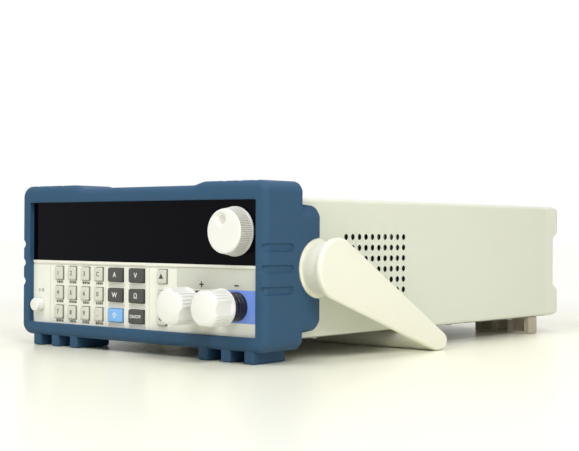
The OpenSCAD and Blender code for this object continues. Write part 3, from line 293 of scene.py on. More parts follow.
class StageSettings(bpy.types.PropertyGroup):
    """Camera, lamps and floor."""

    camera_place: position("Camera place", "Where the camera stands", (0.61058, -0.74075, 0.0797))
    camera_yaw: rotation("Yaw", "Turn of the camera to the left", 0.6997)
    camera_pitch: rotation("Pitch", "Upward tilt of the camera", 0.0054)
    camera_roll: rotation("Roll", "Roll of the camera", 0.0052)
    lens: FloatProperty(name="Lens", description="Focal length on a 36 mm wide sensor",
                        unit="CAMERA", default=79.01)
    sky: FloatProperty(name="Sky light", description="Strength of the even light", default=0.38)
    lamp_size: length("Lamp size", "Side of each square lamp", 600)
    top_lamp: wattage("Top lamp", "Power of the lamp above", 4.5)
    top_place: position("Top place", "Where the lamp above hangs", (0.0, 0.25, 1.4))
    front_lamp: wattage("Front lamp", "Power of the lamp in front", 10.4)
    front_place: position("Front place", "Where the lamp in front hangs", (-0.08, -1.3, 1.2))
    side_lamp: wattage("Side lamp", "Power of the lamp at the right", 11.5)
    side_place: position("Side place", "Where the lamp at the right hangs", (1.1, -0.65, 1.0))
    fade_start: length("Fade start", "Distance at which the floor starts to turn white", 250)
    fade_end: length("Fade end", "Distance at which the floor is white", 750)


class LoadSettings(bpy.types.PropertyGroup):
    """All settings of the bench load."""

    bumper: PointerProperty(type=BumperSizes)
    knob: PointerProperty(type=KnobSizes)
    post: PointerProperty(type=PostSizes)
    handle: PointerProperty(type=HandleSizes)
    bezel: PointerProperty(type=BezelSizes)
    print_and_shade: PointerProperty(type=PrintAndShadeSizes)
    colours: PointerProperty(type=Colours)
    stage: PointerProperty(type=StageSettings)


# Surfaces


def grid_faces(rows, columns, wrap_rows, wrap_columns):
    """Quads of a row-major grid: each joins point (i, j) with its next row and next column."""
    i = np.arange(rows if wrap_rows else rows - 1)
    j = np.arange(columns if wrap_columns else columns - 1)
    i, j = np.meshgrid(i, j, indexing="ij")
    below = (i + 1) % rows
    right = (j + 1) % columns
    quads = [i * columns + j, below * columns + j, below * columns + right, i * columns + right]
    return np.stack(quads, axis=-1).reshape(-1, 4)


class Shell:
    """Gathers grids of points into the points and faces of one mesh."""

    MERGE_DISTANCE = 1e-6
    SLIVER_LENGTH = 1e-7

    def __init__(self):
        self.points = []
        self.faces = []
        self.count = 0

    def add(self, grid, wrap_rows=False, wrap_columns=False, cap_first=False, cap_last=False):
        """Adds a grid of points (rows, columns, 3), with its first or last row closed by a face."""
        rows, columns = grid.shape[:2]
        faces = grid_faces(rows, columns, wrap_rows, wrap_columns) + self.count
        self.faces += faces.tolist()
        row = np.arange(columns) + self.count
        if cap_first:
            self.faces.append(row.tolist())
        if cap_last:
            self.faces.append((row + (rows - 1) * columns).tolist())
        self.points.append(grid.reshape(-1, 3))
        self.count += rows * columns
        return self

    def mesh(self, name, sharp_degrees=40):
        """Mesh with doubles merged, faces outward and edges sharp above an angle."""
        mesh = bpy.data.meshes.new(name)
        mesh.from_pydata(np.concatenate(self.points), [], self.faces)
        work = bmesh.new()
        work.from_mesh(mesh)
        bmesh.ops.remove_doubles(work, verts=work.verts, dist=self.MERGE_DISTANCE)
        bmesh.ops.dissolve_degenerate(work, edges=work.edges, dist=self.SLIVER_LENGTH)
        bmesh.ops.recalc_face_normals(work, faces=work.faces)
        work.to_mesh(mesh)
        work.free()
        mesh.polygons.foreach_set("use_smooth", np.ones(len(mesh.polygons), dtype=bool))
        mesh.set_sharp_from_angle(angle=math.radians(sharp_degrees))
        return mesh


def add_piece(name, mesh, body, material, replaced=()):
    """Links a mesh as a piece that rides on a body and stands for the named nodes."""
    piece = bpy.data.objects.new(name, mesh)
    bpy.context.scene.collection.objects.link(piece)
    mesh.materials.append(material)
    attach(piece, body)
    if replaced:
        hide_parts(*replaced)


def dress(material, *nodes):
    """Gives CAD nodes a finish."""
    for node in nodes:
        piece = frame["nodes"][node]
        piece.data.materials.clear()
        piece.data.materials.append(material)


def rounded_block(low, high, radius, steps=4):
    """Box with round edges: a ball of the edge radius, its eight octants moved to the corners."""
    low, high = np.array(low, float), np.array(high, float)
    middle = (low + high) / 2
    core = (high - low) / 2 - radius
    share = np.linspace(0, 1, steps + 1)
    turn = np.concatenate([quarter + share for quarter in range(4)]) * np.pi / 2
    tilt = np.concatenate([share - 1, share]) * np.pi / 2
    side_x = np.repeat([1, -1, -1, 1], steps + 1)
    side_y = np.repeat([1, 1, -1, -1], steps + 1)
    side_z = np.repeat([-1, 1], steps + 1)
    level = np.cos(tilt)[:, None]
    grid = np.stack([
        middle[0] + side_x * core[0] + radius * level * np.cos(turn),
        middle[1] + side_y * core[1] + radius * level * np.sin(turn),
        middle[2] + (side_z * core[2] + radius * np.sin(tilt))[:, None] + 0 * turn,
    ], axis=-1)
    return grid


def add_block(shell, low, high, radius, steps=4):
    """Adds a closed box with round edges to a shell."""
    shell.add(rounded_block(low, high, radius, steps), wrap_columns=True, cap_first=True, cap_last=True)


def revolved(radius, height, centre, facing, steps=96):
    """Turned surface: radius and height by row, or radius by row and angle, about an axis
    through centre that points to the front, the right or the left."""
    turn = np.linspace(0, 2 * np.pi, steps, endpoint=False)
    radius = np.asarray(radius, float)
    if radius.ndim == 1:
        radius = np.repeat(radius[:, None], steps, axis=1)
    height = np.asarray(height, float)
    if height.ndim == 1:
        height = np.repeat(height[:, None], steps, axis=1)
    across, up = radius * np.cos(turn), radius * np.sin(turn)
    x, y, z = centre
    along = {
        "front": (x + across, y - height, z + up),
        "right": (x + height, y + across, z + up),
        "left": (x - height, y - across, z + up),
    }[facing]
    return np.stack(along, axis=-1)


def round_corner(radius, height, edge, steps=5):
    """Quarter circle in radius and height from the side of a turned piece to its end."""
    angle = np.linspace(0, np.pi / 2, steps + 1)
    return radius - edge + edge * np.cos(angle), height - edge + edge * np.sin(angle)


def rounded_rect(width, height, radius, middle, shares, corner=8):
    """Closed outline in x and z with outward normals, anticlockwise from the lower left: straight
    sides sampled at their shares (bottom, right, top, left), joined by quarter circles."""
    half = np.array([width / 2 - radius, height / 2 - radius])
    quarter = np.linspace(0, np.pi / 2, corner + 2)[1:-1]
    starts = np.array([[-1, -1], [1, -1], [1, 1], [-1, 1]])
    points, normals = [], []
    for side, share in enumerate(shares):
        start, end = starts[side] * half, starts[(side + 1) % 4] * half
        angle = (side - 1) * np.pi / 2
        normal = np.array([[np.cos(angle), np.sin(angle)]])
        points.append(start + (end - start) * share[:, None] + radius * normal)
        normals.append(np.repeat(normal, len(share), axis=0))
        bend = np.stack([np.cos(angle + quarter), np.sin(angle + quarter)], axis=-1)
        points.append(end + radius * bend)
        normals.append(bend)
    return np.concatenate(points) + np.array([0, middle]), np.concatenate(normals)


def section_row(outline, shift, depth):
    """One row of a ring: an outline moved along its normals, at a depth for each point."""
    points, normals = outline
    moved = points + normals * np.broadcast_to(shift, len(points))[:, None]
    return np.stack([moved[:, 0], np.broadcast_to(depth, len(points)), moved[:, 1]], axis=-1)


def smoothstep(low, high, value):
    """Smooth change from 0 at low to 1 at high."""
    share = np.clip((value - low) / (high - low), 0, 1)
    return share * share * (3 - 2 * share)


# Materials

# Settings that more than one finish has
SATIN = {"tone": 0.02, "roughness": (0.34, 0.44)}
POWDER = {"tone": 0.02, "roughness": (0.5, 0.62), "grain": 900.0, "bump": 0.12}
COLLAR = {"roughness": (0.25, 0.35)}
MOULDING = {"base": (0.02, 0.02, 0.021), "tone": 0.15, "roughness": (0.4, 0.55), "bump": 0.12}
PLATE = {"tone": 0.06, "grain": 3000.0, "bump": 0.05, "mottle": 250.0, "metallic": 1.0}
ZINC = {"base": (0.62, 0.62, 0.63), "roughness": (0.3, 0.45)}

# Linear colours of inks, metals, the pieces inside and the far floor
WHITE_INK = (0.8, 0.8, 0.78)
NICKEL = (0.72, 0.68, 0.58)
BRIGHT_WIRE = (0.7, 0.7, 0.72)
CONTACT_PIN = (0.55, 0.55, 0.57)
ALUMINIUM = (0.66, 0.67, 0.68)
SOLDER_MASK = (0.01, 0.1, 0.04)
SILICONE = (0.6, 0.6, 0.58)
TERMINAL_GREEN = (0.03, 0.22, 0.07)
CORE_VARNISH = (0.08, 0.045, 0.03)
FAR_FLOOR = (1, 1, 0.96)

# Painted shade on the keys' flanks and down the knob's flutes, as shares of the colour round it
GREY_FLANK_SHADE = 0.5
BLUE_FLANK_SHADE = 0.6
# Share of the knob's colour left in the painted shade down its flutes
FLUTE_SHADE = (0.52, 0.48, 0.4)


def node_group(name, inputs, outputs):
    """Empty shader group with named sockets, given as (name, type, default)."""
    group = bpy.data.node_groups.new(name, "ShaderNodeTree")
    for socket, kind, default in inputs:
        made = group.interface.new_socket(name=socket, in_out="INPUT", socket_type=kind)
        if default is not None:
            made.default_value = default
    for socket, kind in outputs:
        group.interface.new_socket(name=socket, in_out="OUTPUT", socket_type=kind)
    return group, group.nodes.new("NodeGroupInput"), group.nodes.new("NodeGroupOutput")


def math_node(tree, operation, first, second=None):
    """Math node; its inputs are sockets or numbers."""
    node = tree.nodes.new("ShaderNodeMath")
    node.operation = operation
    for index, value in enumerate([first, second]):
        if value is None:
            continue
        if isinstance(value, (int, float)):
            node.inputs[index].default_value = value
        else:
            tree.links.new(value, node.inputs[index])
    return node.outputs[0]


def grain_group():
    """Moulded or painted skin: a fine grain for the bump and a slow mottle for tone and gloss."""
    found = bpy.data.node_groups.get("surface_grain")
    if found:
        return found
    group, start, end = node_group(
        "surface_grain",
        [("Vector", "NodeSocketVector", None), ("Grain Scale", "NodeSocketFloat", 1800.0),
         ("Mottle Scale", "NodeSocketFloat", 60.0)],
        [("Grain", "NodeSocketFloat"), ("Mottle", "NodeSocketFloat")])
    for scale, detail, output in (("Grain Scale", 2.0, "Grain"), ("Mottle Scale", 4.0, "Mottle")):
        noise = group.nodes.new("ShaderNodeTexNoise")
        noise.inputs["Detail"].default_value = detail
        group.links.new(start.outputs["Vector"], noise.inputs["Vector"])
        group.links.new(start.outputs[scale], noise.inputs["Scale"])
        group.links.new(noise.outputs["Fac"], end.inputs[output])
    return group


def field_group():
    """Field of another colour: 1 inside a box in x, y and z with sharp edges, 0 outside."""
    found = bpy.data.node_groups.get("printed_field")
    if found:
        return found
    limits = [("Low", "NodeSocketVector", None), ("High", "NodeSocketVector", None)]
    group, start, end = node_group(
        "printed_field", [("Vector", "NodeSocketVector", None)] + limits,
        [("Mask", "NodeSocketFloat")])
    split = {}
    for socket in ("Vector", "Low", "High"):
        node = group.nodes.new("ShaderNodeSeparateXYZ")
        group.links.new(start.outputs[socket], node.inputs[0])
        split[socket] = node.outputs
    mask = None
    for axis in range(3):
        above = math_node(group, "GREATER_THAN", split["Vector"][axis], split["Low"][axis])
        below = math_node(group, "LESS_THAN", split["Vector"][axis], split["High"][axis])
        both = math_node(group, "MULTIPLY", above, below)
        mask = both if mask is None else math_node(group, "MULTIPLY", mask, both)
    group.links.new(mask, end.inputs["Mask"])
    return group


class Finish:
    """One procedural material: a Principled shader with grain, mottle and fields of colour."""

    SOCKETS = {"metallic": "Metallic", "specular": "Specular IOR Level"}
    MOTTLE_LIMITS = (0.3, 0.7)
    GRAIN_HEIGHT = 0.1 * MM

    def __init__(self, name, base, tone=0.05, roughness=(0.45, 0.6), grain=1800.0, bump=0.06,
                 mottle=60.0, **constants):
        self.material = bpy.data.materials.new(name)
        self.material.use_nodes = True
        self.tree = self.material.node_tree
        self.shader = self.tree.nodes["Principled BSDF"]
        place = self.tree.nodes.new("ShaderNodeTexCoord")
        self.place = place.outputs["Object"]
        skin = self.tree.nodes.new("ShaderNodeGroup")
        skin.node_tree = grain_group()
        self.tree.links.new(self.place, skin.inputs["Vector"])
        skin.inputs["Grain Scale"].default_value = grain
        skin.inputs["Mottle Scale"].default_value = mottle
        self.mottle = skin.outputs["Mottle"]
        base = np.array(base[:3])
        dark, light = base * (1 - tone), np.minimum(base * (1 + tone), 1)
        self.colour = self.mix(self.mottle, dark, light)
        self.link_roughness(roughness)
        self.link_bump(skin.outputs["Grain"], bump)
        for socket, value in constants.items():
            self.shader.inputs[self.SOCKETS[socket]].default_value = value
        self.tree.links.new(self.colour, self.shader.inputs["Base Color"])

    def mix(self, factor, first, second):
        """Colour mix; each colour is a socket or three numbers."""
        node = self.tree.nodes.new("ShaderNodeMix")
        node.data_type = "RGBA"
        self.tree.links.new(factor, node.inputs["Factor"])
        for socket, value in ((node.inputs[6], first), (node.inputs[7], second)):
            if isinstance(value, bpy.types.NodeSocket):
                self.tree.links.new(value, socket)
            else:
                socket.default_value = (*value, 1)
        return node.outputs[2]

    def link_roughness(self, limits):
        """Roughness that follows the mottle between two limits."""
        spread = self.tree.nodes.new("ShaderNodeMapRange")
        sockets = ("From Min", "From Max", "To Min", "To Max")
        for socket, value in zip(sockets, (*self.MOTTLE_LIMITS, *limits)):
            spread.inputs[socket].default_value = value
        self.tree.links.new(self.mottle, spread.inputs["Value"])
        self.tree.links.new(spread.outputs["Result"], self.shader.inputs["Roughness"])

    def link_bump(self, height, strength):
        """Bump from the grain."""
        bump = self.tree.nodes.new("ShaderNodeBump")
        bump.inputs["Strength"].default_value = strength
        bump.inputs["Distance"].default_value = self.GRAIN_HEIGHT
        self.tree.links.new(height, bump.inputs["Height"])
        self.tree.links.new(bump.outputs["Normal"], self.shader.inputs["Normal"])

    def field(self, low, high, tint):
        """Puts a field of another colour inside a box."""
        node = self.tree.nodes.new("ShaderNodeGroup")
        node.node_tree = field_group()
        node.inputs["Low"].default_value = low
        node.inputs["High"].default_value = high
        self.tree.links.new(self.place, node.inputs["Vector"])
        self.colour = self.mix(node.outputs["Mask"], self.colour, tint[:3])
        self.tree.links.new(self.colour, self.shader.inputs["Base Color"])
        return self


def finish(name, *args, **kwargs):
    """A finish by name, made once."""
    return bpy.data.materials.get(name) or Finish(name, *args, **kwargs).material


def handle_plastic(colours):
    """Paler ivory plastic of the handle and its hubs."""
    return finish("handle_ivory", colours.handle, tone=0.02, roughness=(0.4, 0.5))


def bright_plastic(colours):
    """Nearly white plastic of the button and the screw caps."""
    return finish("bright_ivory", colours.bright, **SATIN)


def powder_coat(colours):
    """Ivory powder coat with a fine orange peel on the outside, and painted shade on the inside and on
    the walls of the vents."""
    coat = Finish("ivory_powder_coat", colours.paint, **POWDER)
    sheet, skin, edge = 1.1 * MM, 0.2 * MM, 8 * MM
    # Painted shade on the inner faces of the cover
    coat.field((CASE_LOW.x + sheet, PANEL_BACK - sheet, CASE_LOW.z - sheet),
               (CASE_HIGH.x - sheet, BEZEL_LOW.y + sheet, CASE_HIGH.z - sheet), colours.inside)
    # Painted shade on the walls of the vents and the rest of the inside, clear of the outer skin and edges
    coat.field((CASE_LOW.x + skin, BUMPER_HIGH.y + edge, CASE_LOW.z + edge),
               (CASE_HIGH.x - skin, BEZEL_LOW.y - edge, CASE_HIGH.z - edge), colours.inside)
    return coat.material


def bumper_rubber(colours):
    """Blue rubber with a satin skin."""
    return finish("satin_blue_rubber", colours.bumper, tone=0.1, roughness=(0.5, 0.66), grain=1300.0,
                  bump=0.1, specular=0.28)


def window_gloss(colours):
    """Smoked window with a polished front."""
    return finish("smoked_window", colours.window, tone=0.05, roughness=(0.07, 0.12), bump=0.0,
                  mottle=20.0, specular=0.06)


def key_plastic_and_flank_shade(name, base, flank_shade):
    """Satin key plastic with painted shade on its flanks, behind the face."""
    key = Finish(name, base, tone=0.03, roughness=(0.36, 0.48), grain=2400.0, bump=0.05)
    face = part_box("key_0")[0].y
    rim, far = 0.9 * MM, 1
    # Painted shade on the flanks: everything behind the face's rim takes the darker colour
    return key.field((-far, face + rim, -far), (far, far, far), flank_shade).material


def legend_ink(name, base):
    """Screen-printed ink."""
    return finish(name, base, tone=0.06, roughness=(0.5, 0.65), mottle=900.0)


def dark_plastic():
    """Black moulded plastic."""
    return finish("black_moulding", **MOULDING)


def plated_metal(name, base, roughness):
    """Plated metal with fine tool marks."""
    return finish(name, base, roughness=roughness, **PLATE)


# Operators


class MakeOperator:
    """Common parts of the operators."""

    bl_options = {"REGISTER", "UNDO"}

    @staticmethod
    def settings(context):
        """Settings of the scene."""
        return context.scene.bench_load


class LOAD_OT_bumper(MakeOperator, bpy.types.Operator):
    """Makes the rubber bumper: a section carried round the case, with pads, tabs and grooves"""

    bl_idname = "bench_load.bumper"
    bl_label = "Bumper"

    def execute(self, context):
        settings = self.settings(context)
        sizes = settings.bumper
        shell = Shell()
        shell.add(self.ring(sizes), wrap_rows=True, wrap_columns=True)
        for side in (-1, 1):
            self.add_foot(shell, sizes, side)
        add_piece("bumper", shell.mesh("bumper"), "chassis",
                  bumper_rubber(settings.colours), ["front_bumper"])
        return {"FINISHED"}

    def shares(self):
        """Where the outline's sides (bottom, right, top, left) are sampled, as shares of their length:
        close together where the grooves are, and further apart between them."""
        pad_end, groove_low, groove_high = 0.32, 0.28, 0.68
        pad = np.linspace(0, pad_end, 150)
        top = np.concatenate([pad, np.linspace(pad_end, 1 - pad_end, 12)[1:-1], 1 - pad[::-1]])
        side = np.concatenate([np.linspace(0, groove_low, 50)[:-1],
                               np.linspace(groove_low, groove_high, 130),
                               np.linspace(groove_high, 1, 58)[1:]])
        return np.linspace(0, 1, 40), side, top, side

    def outlines(self, sizes):
        """Matched outlines of the lip, the pocket and the outside; along the top the outside climbs
        by an S-shaped ramp from the plain edge to the corner pads."""
        half, top, bottom = BUMPER_HIGH.x, BUMPER_HIGH.z - sizes.pad_rise, CASE_LOW.z - sizes.floor
        shares = self.shares()

        def outline(half_width, low, high, radius):
            """Round-cornered outline between two heights."""
            return rounded_rect(2 * half_width, high - low, radius, (low + high) / 2, shares)

        gap = sizes.pocket_gap
        lip = outline(CASE_HIGH.x - sizes.lip_side, CASE_LOW.z + sizes.lip_bottom,
                      CASE_HIGH.z - sizes.lip_top, sizes.opening_corner)
        pocket, normals = outline(CASE_HIGH.x + gap, CASE_LOW.z - gap, CASE_HIGH.z + gap,
                                  sizes.pocket_corner)
        plain, _ = outline(half, bottom, top, sizes.corner)
        raised, _ = outline(half, bottom, BUMPER_HIGH.z, sizes.corner)
        ramp = half - sizes.pad_width
        pad = smoothstep(ramp, ramp + sizes.pad_ramp, np.abs(plain[:, 0]))
        share = np.where(normals[:, 1] > STRAIGHT, pad, 1)[:, None]
        outside = plain + (raised - plain) * share
        on_side = np.abs(normals[:, 0]) > STRAIGHT
        level = pocket[on_side, 1]
        pocket[on_side, 1] = np.clip(outside[on_side, 1], level.min(), level.max())
        return lip, (pocket, normals), (outside, normals)

    def rear_edge(self, sizes, outside):
        """Depth of the rear edge: plain, longer on the tabs, and cut in an arc round the hub."""
        points, normals = outside
        away = np.abs(points[:, 1] - PIVOT.z)
        plain = FRONT_Y + sizes.depth
        tab = sizes.tab_corner
        over = np.maximum(away - (sizes.tab_half - tab), 0)
        tab_end = BUMPER_HIGH.y - tab + np.sqrt(np.maximum(tab ** 2 - over ** 2, 0))
        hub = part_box("pivot_hubs")[1].z - PIVOT.z + sizes.hub_gap
        arc = PIVOT.y - np.sqrt(np.maximum(hub ** 2 - away ** 2, 0))
        depth = np.where(away < hub, arc, np.where(away < sizes.tab_half, tab_end, plain))
        return np.where(np.abs(normals[:, 0]) > STRAIGHT, depth, plain)

    def groove(self, sizes, outside, way):
        """Cut of the finger grooves at a way along the section from the front face: the distance to
        the middle line of three pills on each side and on each pad, turned into a soft step."""
        points, normals = outside
        radius = sizes.groove_height / 2
        bend = sizes.edge * (math.pi / 2 - 1)
        on_side = np.abs(normals[:, 0]) > STRAIGHT
        start = radius + np.where(on_side, 0, sizes.edge)
        along = np.maximum(np.maximum(start - way, way - (bend + sizes.groove_end - radius)), 0)
        on_pad = np.abs(points[:, 0]) - BUMPER_HIGH.x + sizes.pad_groove_inset
        across = np.where(on_side, points[:, 1] - PIVOT.z, on_pad)
        across = across - sizes.groove_pitch * np.clip(np.round(across / sizes.groove_pitch), -1, 1)
        outer, inner = 0.2 * MM, -0.4 * MM
        cut = smoothstep(outer, inner, np.hypot(along, across) - radius)
        flat = on_side | (normals[:, 1] > STRAIGHT)
        return np.where(flat, cut * sizes.groove_depth, 0)

    def bevel(self, sizes, outside, depth):
        """Slope of the tabs' outer faces towards their upper and lower ends."""
        points, normals = outside
        away = np.abs(points[:, 1] - PIVOT.z) - sizes.tab_half + sizes.tab_bevel_height
        slope = np.clip(away / sizes.tab_bevel_height, 0, 1) * sizes.tab_bevel
        soft = 0.3 * MM
        behind = smoothstep(-soft, soft, depth - FRONT_Y - sizes.depth)
        return np.where(np.abs(normals[:, 0]) > STRAIGHT, slope * behind, 0)

    def ring(self, sizes):
        """Rows of the section, from the lip over the front and the outside to the pocket; the grooves
        and the tabs' bevels sink the outside along its normal."""
        lip, pocket, outside = self.outlines(sizes)
        rear = self.rear_edge(sizes, outside)
        small, edge = sizes.small_edge, sizes.edge
        angles = np.linspace(0, np.pi / 2, 17)
        rows = [section_row(lip, 0, PANEL_Y)]
        for angle in angles[::4]:
            rows.append(section_row(lip, small * (1 - math.cos(angle)),
                                    FRONT_Y + small * (1 - math.sin(angle))))
        for angle in angles:
            cut = self.groove(sizes, outside, edge * angle)
            rows.append(section_row(outside, -edge * (1 - math.sin(angle)) - cut * math.sin(angle),
                                    FRONT_Y + edge * (1 - math.cos(angle)) + cut * math.cos(angle)))
        beyond, rounding = 0.4 * MM, 4 * MM
        groove_end = sizes.groove_end + beyond
        round_end = groove_end - rounding
        steps = np.concatenate([np.linspace(edge, round_end, 8)[1:-1],
                                np.linspace(round_end, groove_end, 15)])
        depths = [FRONT_Y + step + 0 * rear for step in steps]
        depths += [FRONT_Y + groove_end + share * (rear - small - FRONT_Y - groove_end)
                   for share in np.linspace(0, 1, 31)[1:]]
        for depth in depths:
            way = depth - FRONT_Y + edge * (np.pi / 2 - 1)
            cut = self.groove(sizes, outside, way) + self.bevel(sizes, outside, depth)
            rows.append(section_row(outside, -cut, depth))
        bevel = self.bevel(sizes, outside, rear)
        for angle in angles[4::4]:
            rows.append(section_row(outside, -bevel - small * (1 - math.cos(angle)),
                                    rear - small * (1 - math.sin(angle))))
        rows.append(section_row(pocket, 0, rear))
        rows.append(section_row(pocket, 0, PANEL_Y))
        return np.stack(rows)

    def add_foot(self, shell, sizes, side):
        """Foot under one corner: a heel with three fins in front of it."""
        middle = side * (BUMPER_HIGH.x - sizes.foot_inset - sizes.foot_width / 2)
        front = FRONT_Y + sizes.foot_setback
        top = CASE_LOW.z - sizes.floor + sizes.edge
        heel = front + sizes.foot_depth / 2
        half = sizes.foot_width / 2
        edge = sizes.foot_edge
        add_block(shell, (middle - half, heel, 0), (middle + half, front + sizes.foot_depth, top), edge)
        for step in (-1, 0, 1):
            x = middle + step * (half - sizes.fin_width / 2)
            add_block(shell, (x - sizes.fin_width / 2, front, 0),
                      (x + sizes.fin_width / 2, heel + 2 * edge, top), edge)


class LOAD_OT_panel(MakeOperator, bpy.types.Operator):
    """Finishes the panel with its printed fields, the window and what lies behind them"""

    bl_idname = "bench_load.panel"
    bl_label = "Panel and window"

    def execute(self, context):
        settings = self.settings(context)
        sizes, colours = settings.print_and_shade, settings.colours
        dress(self.panel_plastic(sizes, colours), "front_panel")
        self.add_signs(sizes, colours)
        self.add_marks(sizes, colours)
        dress(window_gloss(colours), "display_window")
        dress(finish("solder_mask", SOLDER_MASK, tone=0.3, roughness=(0.3, 0.5), mottle=400.0),
              "display_module", "control_board", "main_board")
        dress(finish("silicone_mat", SILICONE, roughness=(0.5, 0.7)), "keypad_mat")
        return {"FINISHED"}

    def panel_plastic(self, sizes, colours):
        """Moulded ivory with the printed fields of its front face, and painted shade lines under the
        ridge and in the grooves between the groups of keys.
        """
        front, back = PANEL_Y - 2 * MM, PANEL_Y + 0.3 * MM
        left, right = CASE_LOW.x, CASE_HIGH.x
        ridge = WINDOW_Z - sizes.ridge
        shade = ridge - sizes.shade_gap
        half = sizes.line / 2
        panel = Finish("panel_plastic", colours.ivory, tone=0.02, roughness=(0.42, 0.52))
        panel.field((sizes.grey_left, front, sizes.grey_low), (right, back, ridge), colours.grey_print_and_shade)
        panel.field((sizes.blue_left, front, sizes.blue_low), (right, back, sizes.blue_high),
                    colours.blue_print)
        # Painted shade line under the ridge, in the grey of the print
        panel.field((left, front, shade - sizes.shade), (right, back, shade), colours.grey_print_and_shade)
        # Painted shade lines in the thin grooves between the groups of keys
        for x in (sizes.line_left, sizes.line_middle, sizes.line_right):
            panel.field((x - half, front, CASE_LOW.z), (x + half, back, ridge), colours.grey_print_and_shade)
        for node in FUNCTION_KEYS:
            low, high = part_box(node)
            panel.field((low.x, front, low.z - sizes.band), (high.x, back, low.z), colours.band)
        return panel.material

    def add_signs(self, sizes, colours):
        """Signs above the posts and the button."""
        ink = legend_ink("dark_ink", colours.ink)
        low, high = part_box("power_button")
        button = (low + high) / 2
        posts = [JOINTS[name]["pos_m"][0] for name in ("positive_screw", "negative_screw")]
        signs = {
            "sign_positive": ("+", sizes.post_sign, posts[0], sizes.post_level),
            "sign_negative": ("−", sizes.post_sign, posts[1], sizes.post_level),
            "sign_power": ("I / O", sizes.power_sign, button.x + sizes.power_shift,
                           button.z + sizes.power_rise),
        }
        for name, (sign, size, x, z) in signs.items():
            mesh = sign_mesh(sign, size, (x, PANEL_Y, z))
            add_piece(name, mesh, "chassis", ink)

    def add_marks(self, sizes, colours):
        """Row of small plain dashes under each number key; their widths step through three sizes."""
        shell = Shell()
        thick, count, shortest, longer = 0.02 * MM, 4, 1, 0.5
        for index, node in enumerate(NUMBER_KEYS):
            low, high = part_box(node)
            widths = (shortest + longer * ((index + 2 * np.arange(count)) % 3)) * MM
            starts = np.cumsum(widths + sizes.mark_gap) - widths
            starts += (low.x + high.x - starts[-1] - widths[-1] - sizes.mark_gap) / 2
            for start, width in zip(starts, widths):
                add_block(shell, (start, PANEL_Y - thick, low.z - sizes.mark),
                          (start + width, PANEL_Y + thick, low.z), thick / 2, steps=1)
        add_piece("small_marks", shell.mesh("small_marks"), "chassis",
                  legend_ink("grey_ink", colours.small_ink))


class LOAD_OT_keys(MakeOperator, bpy.types.Operator):
    """Makes the keys as soft-edged blocks with printed legends"""

    bl_idname = "bench_load.keys"
    bl_label = "Keys"

    def execute(self, context):
        settings = self.settings(context)
        sizes, colours = settings.print_and_shade, settings.colours
        grey, blue = np.array(colours.key_grey), np.array(colours.key_blue)
        plastics = {
            "key_ivory": key_plastic_and_flank_shade("satin_ivory_key", colours.key_ivory, colours.flank_shade),
            "key_grey": key_plastic_and_flank_shade("satin_grey_key", grey, GREY_FLANK_SHADE * grey),
            "key_blue": key_plastic_and_flank_shade("satin_blue_key", blue, BLUE_FLANK_SHADE * blue),
        }
        dark = legend_ink("dark_ink", colours.ink)
        white = legend_ink("white_ink", WHITE_INK)
        for node, sign in {**NUMBER_KEYS, **CURSOR_KEYS}.items():
            self.add_key(node, plastics["key_ivory"], "key_ivory")
            self.add_sign(node, sign, dark, sizes.key_sign, "key_ivory")
        for node, sign in FUNCTION_KEYS.items():
            slot = "key_blue" if node == "key_shift" else "key_grey"
            self.add_key(node, plastics[slot], slot)
            size = sizes.function_sign if len(sign) == 1 else sizes.long_sign
            self.add_sign(node, sign, white, size, slot)
        return {"FINISHED"}

    def add_key(self, node, material, slot):
        """Key: block through the panel with a flange behind it."""
        low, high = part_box(node)
        flange, edge, flange_edge = 1 * MM, 0.95 * MM, 0.2 * MM
        collar = Vector((flange, 0, flange))
        shell = Shell()
        add_block(shell, low + collar, high - collar, edge, steps=5)
        add_block(shell, (low.x, high.y - flange, low.z), high, flange_edge, steps=2)
        add_piece("cap_" + node, shell.mesh(node), node, material, [node])

    def add_sign(self, node, sign, ink, size, slot):
        """Legend on the key's face."""
        low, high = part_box(node)
        middle = (low + high) / 2
        mesh = sign_mesh(sign, size, (middle.x, low.y, middle.z))
        add_piece("sign_" + node, mesh, node, ink)


def sign_mesh(sign, size, centre, turn=0):
    """Thin raised sign with a bold stroke, centred on a point of a surface that faces the front, or
    turned from the front by an angle about Z."""
    curve = bpy.data.curves.new("sign", "FONT")
    curve.body = sign
    curve.size = size
    curve.align_x = "CENTER"
    curve.align_y = "CENTER"
    bold, thick = 0.02, 0.02 * MM
    curve.offset = bold * size
    curve.extrude = thick
    maker = bpy.data.objects.new("sign", curve)
    bpy.context.scene.collection.objects.link(maker)
    graph = bpy.context.evaluated_depsgraph_get()
    mesh = bpy.data.meshes.new_from_object(maker.evaluated_get(graph))
    bpy.data.objects.remove(maker)
    bpy.data.curves.remove(curve)
    mesh.materials.clear()
    upright = Matrix.Rotation(turn, 4, "Z") @ Matrix.Rotation(math.pi / 2, 4, "X")
    mesh.transform(Matrix.Translation(centre) @ upright)
    return mesh


